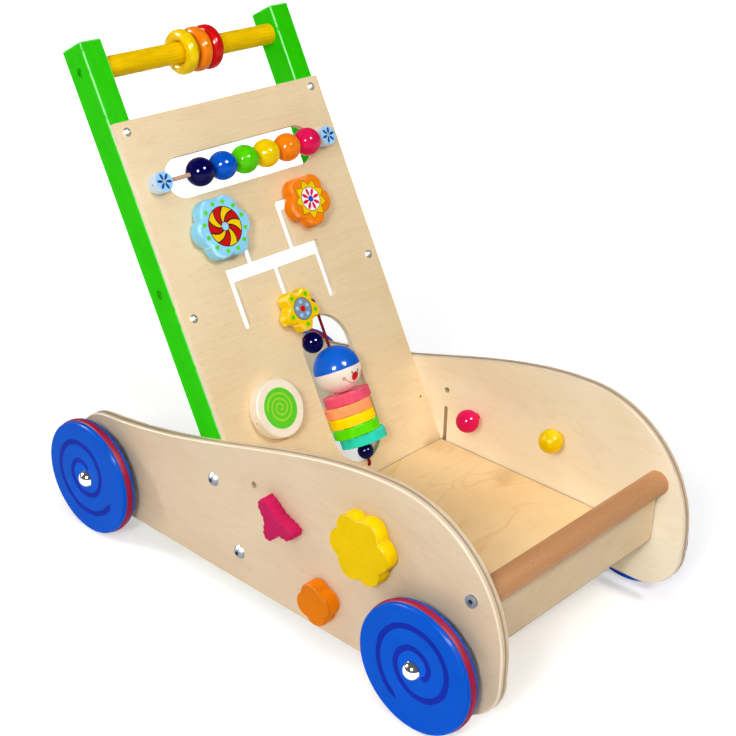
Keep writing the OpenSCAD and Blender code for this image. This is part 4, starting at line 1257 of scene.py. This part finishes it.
class WALKER_OT_shapes(bpy.types.Operator):
    """Turning shapes on the side panels and the balls on their spindles"""

    bl_idname = "walker.shapes"
    bl_label = "Turning shapes"

    def execute(self, context):
        for shape, tone in (("star", "pink"), ("flower", "yellow"), ("clover", "orange")):
            # Each shape's sides get painted light, a brighter copy of its lacquer
            paint = self.bright_sides(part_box(f"shape_{shape}_left")[1].y)
            looks = {"gloss": 0.34, "strength": 0.1, "paint": paint, "wear_and_highlight": 0.25}
            finish = lacquer(f"Shape {shape} lacquer", shape, ON_PANEL, **looks)
            ball = lacquer(f"Ball {tone} lacquer", tone, gloss=0.1, strength=0.1, shine=0.2)
            for name, side in SIDES:
                if shape == "star":
                    self.star(f"shape_star_{name}", f"spindle_star_{name}", finish)
                else:
                    softened(f"shape_{shape}_{name}", sizes().toy_round, finish, 4, least=SMALL_RIM)
                self.spindle(f"spindle_{shape}_{name}", side, ball)
        return {"FINISHED"}

    def bright_sides(self, outer):
        """A shape's sides are painted a little brighter than its outer face, which lies at outer, as painted
        light.
        """
        band = 1.2 * MM

        def paint(at, base):
            sides = step(abs(dot(at, ACROSS)), outer - band, outer - 2 * band)
            # Painted light: the sides take a brighter copy of the shape's lacquer
            return over(sides, base, tint(at.tree, base, 1.22))

        return paint

    def star(self, node, spindle, material):
        """The three-armed star, cut from a disc, with flutes all round its rim."""
        low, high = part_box(node)
        hub = sum(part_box(spindle), Vector()) / 2
        upright, points = Matrix.Rotation(math.pi / 2, 4, "X"), 360
        work = bmesh.new()
        rim = bmesh.ops.create_circle(work, cap_ends=True, segments=points, radius=1, matrix=upright)["verts"]
        for vert in rim:
            vert.co *= self.star_radius(math.degrees(math.atan2(vert.co.z, vert.co.x)))
        spots = [vert.co.copy() for vert in rim]
        after, before = [*spots[1:], spots[0]], [spots[-1], *spots[:-1]]
        border = sum((following - spot).length for spot, following in zip(spots, after))
        flutes, run = round(border / sizes().flute_pitch), 0.0
        for vert, last, spot, following in zip(rim, before, spots, after):
            normal = (following - last).cross(ACROSS).normalized()
            inward = -normal if normal.dot(spot) > 0 else normal
            wave = 0.5 - 0.5 * math.cos(2 * math.pi * flutes * run / border)
            vert.co += inward * wave * sizes().flute_depth
            run += (following - spot).length
        bmesh.ops.translate(work, verts=work.verts, vec=(hub.x, low.y, hub.z))
        raised = bmesh.ops.extrude_face_region(work, geom=list(work.faces), use_keep_orig=True)["geom"]
        bmesh.ops.translate(work, verts=only(bmesh.types.BMVert, raised), vec=(0, high.y - low.y, 0))
        bmesh.ops.recalc_face_normals(work, faces=work.faces)
        round_edges(work, sizes().star_round, 3, 60, least=SMALL_RIM)
        bmesh.ops.triangulate(work, faces=[face for face in work.faces if len(face.verts) > 4])
        piece(node + "_wood", work, node, material)

    def star_radius(self, turn):
        """The star's reach in one direction, in degrees: blunt arms with round valleys between them."""
        reach, half_width, corner = 22.5 * MM, 6.3 * MM, 4
        tip = math.degrees(math.atan(half_width / reach))
        following = [*STAR_ARMS[1:], STAR_ARMS[0] + 360]
        for arm, other, valley in zip(STAR_ARMS, following, STAR_VALLEYS):
            away, gap = (turn - arm) % 360, other - arm
            if away <= gap:
                near = min(away, gap - away)
                part = math.sin((near - tip) / (gap / 2 - tip) * math.pi / 2)
                end = math.cos(math.radians(near)) / reach
                flank = (1 - part) * math.cos(math.radians(tip)) / reach + part / (valley * MM)
                return (end**corner + flank**corner) ** (-1 / corner)

    def spindle(self, node, side, material):
        """A turned dowel that ends in a ball."""
        low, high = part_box(node)
        middle = (low + high) / 2
        radius, pin, ease = (high.z - low.z) / 2, 4 * MM, 0.5 * MM
        tip = low.y if side > 0 else high.y
        foot = abs(high.y - low.y)
        lift = math.degrees(math.asin(pin / radius))
        ball = arc(0, radius, radius, -90, 90 - lift, 40)
        ball[0] = (0, 0)
        profile = [*ball, (pin, foot - ease), (pin - ease, foot), (0, foot)]
        work = turned(profile, Vector((middle.x, tip, middle.z)), (0, side, 0), 64)
        piece(node + "_turned", work, node, material)


class WALKER_OT_stage(bpy.types.Operator):
    """Pale floor, soft studio light and the camera"""

    bl_idname = "walker.stage"
    bl_label = "Studio"

    def execute(self, context):
        self.floor()
        self.world(context.scene)
        aim, away = Vector((0.0, 0.0, 0.2)), 2.2
        box_width, bulb_width, bulb_power = 0.36, 0.5, 240.0
        for name, way, power in (
            ("Left softbox", (-0.717, -0.549, 0.432), 10.0),
            ("Right softbox", (0.689, 0.059, 0.717), 15.0),
            ("Camera softbox", (0.381, -0.781, 0.476), 20.0),
        ):
            place = aim + Vector(way) * away
            self.lamp(name, place, aim, box_width, power)
            # The bare bulb in the softbox shows in glossy paint only
            self.lamp(name + " bulb", place, aim, bulb_width, bulb_power).visible_diffuse = False
        self.lamp("Overhead fill", Vector((0.1, -0.5, 2.5)), aim, 1.8, 18.0).visible_glossy = False
        self.camera(context.scene)
        context.scene.view_settings.view_transform = "Standard"
        return {"FINISHED"}

    def floor(self):
        """A wide white floor that keeps the walker's shadow and runs out to pure white."""
        radius, spread = 9.0, 15
        work = bmesh.new()
        bmesh.ops.create_circle(work, cap_ends=True, segments=96, radius=radius)
        ring = bmesh.ops.extrude_edge_only(work, edges=list(work.edges))["geom"]
        bmesh.ops.scale(work, vec=(spread, spread, 1), verts=only(bmesh.types.BMVert, ring))
        bmesh.ops.recalc_face_normals(work, faces=work.faces)
        mesh = bpy.data.meshes.new("floor")
        work.to_mesh(mesh)
        work.free()
        made = Finish("Studio floor")
        ray = wires(new_node(made.tree, "ShaderNodeLightPath"))
        seen = ray["Is Camera Ray"].maths("MAXIMUM", ray["Is Glossy Ray"])
        seen = seen.maths("MAXIMUM", ray["Is Transmission Ray"])
        away = step(use("Polar", made.at)["Radius"], 0.25, 1.6)
        made.set(
            Base_Color=over(noise(made.at, 3.0), (0.86, 0.86, 0.86, 1), (0.9, 0.9, 0.9, 1)),
            Roughness=0.9,
            Specular_IOR_Level=0.1,
            Emission_Color=(1, 1, 1, 1),
            Emission_Strength=seen * (away * 0.5 + 0.4),
        )
        mesh.materials.append(made.material)
        floor = bpy.data.objects.new("floor", mesh)
        bpy.context.scene.collection.objects.link(floor)

    def world(self, scene):
        """A weak, even white surround that fills the shadows."""
        world = bpy.data.worlds.new("Studio")
        world.use_nodes = True
        tree = world.node_tree
        tree.nodes.clear()
        sky = add(tree, "ShaderNodeBackground", {"Color": (1, 1, 1, 1), "Strength": 0.12})
        new_node(tree, "ShaderNodeOutputWorld", {"Surface": sky})
        scene.world = world

    def lamp(self, name, place, aim, width, power):
        """A square lamp that faces a point."""
        light = bpy.data.lights.new(name, "AREA")
        light.size = width
        light.energy = power
        made = bpy.data.objects.new(name, light)
        made.location = place
        made.rotation_mode = "QUATERNION"
        made.rotation_quaternion = (aim - place).to_track_quat("-Z", "Y")
        bpy.context.scene.collection.objects.link(made)
        return made

    def camera(self, scene):
        """The camera stands where the photograph's did, turned a little about its own axis."""
        place = (0.784, -0.8657, 0.7682)
        turn, lift, roll = math.radians(42.05), math.radians(26.09), math.radians(1.83)
        right = Vector((math.cos(turn), math.sin(turn), 0))
        back = Vector((math.sin(turn) * math.cos(lift), -math.cos(turn) * math.cos(lift), math.sin(lift)))
        up = back.cross(right)
        level = right * math.cos(roll) + up * math.sin(roll)
        upright = up * math.cos(roll) - right * math.sin(roll)
        data = bpy.data.cameras.new("Camera")
        data.lens, data.sensor_width = 71.11, 36.0
        data.clip_start, data.clip_end = 0.01, 400.0
        made = bpy.data.objects.new("Camera", data)
        basis = Matrix((level, upright, back)).transposed().to_4x4()
        made.matrix_world = Matrix.Translation(place) @ basis
        scene.collection.objects.link(made)
        scene.camera = made


OPERATORS = (
    WALKER_OT_ply,
    WALKER_OT_handle,
    WALKER_OT_wheels,
    WALKER_OT_fasteners,
    WALKER_OT_abacus,
    WALKER_OT_sliders,
    WALKER_OT_knob,
    WALKER_OT_doll,
    WALKER_OT_shapes,
    WALKER_OT_stage,
)


class WALKER_PT_build(bpy.types.Panel):
    bl_idname = "WALKER_PT_build"
    bl_label = "Push walker"
    bl_space_type = "VIEW_3D"
    bl_region_type = "UI"
    bl_category = "Walker"

    def draw(self, context):
        column = self.layout.column()
        for operator in OPERATORS:
            column.operator(operator.bl_idname)
        for group in (context.scene.walker_sizes, context.scene.walker_colours):
            for name in group.bl_rna.properties.keys():
                if name not in ("rna_type", "name"):
                    column.prop(group, name)


CLASSES = (WalkerColours, WalkerSizes, *OPERATORS, WALKER_PT_build)


def register():
    for cls in CLASSES:
        bpy.utils.register_class(cls)
    bpy.types.Scene.walker_colours = PointerProperty(type=WalkerColours)
    bpy.types.Scene.walker_sizes = PointerProperty(type=WalkerSizes)


def unregister():
    del bpy.types.Scene.walker_sizes
    del bpy.types.Scene.walker_colours
    for cls in reversed(CLASSES):
        bpy.utils.unregister_class(cls)


def main():
    register()
    make_groups()
    for operator in OPERATORS:
        getattr(bpy.ops.walker, operator.bl_idname.removeprefix("walker."))()


if __name__ == "__main__":
    main()
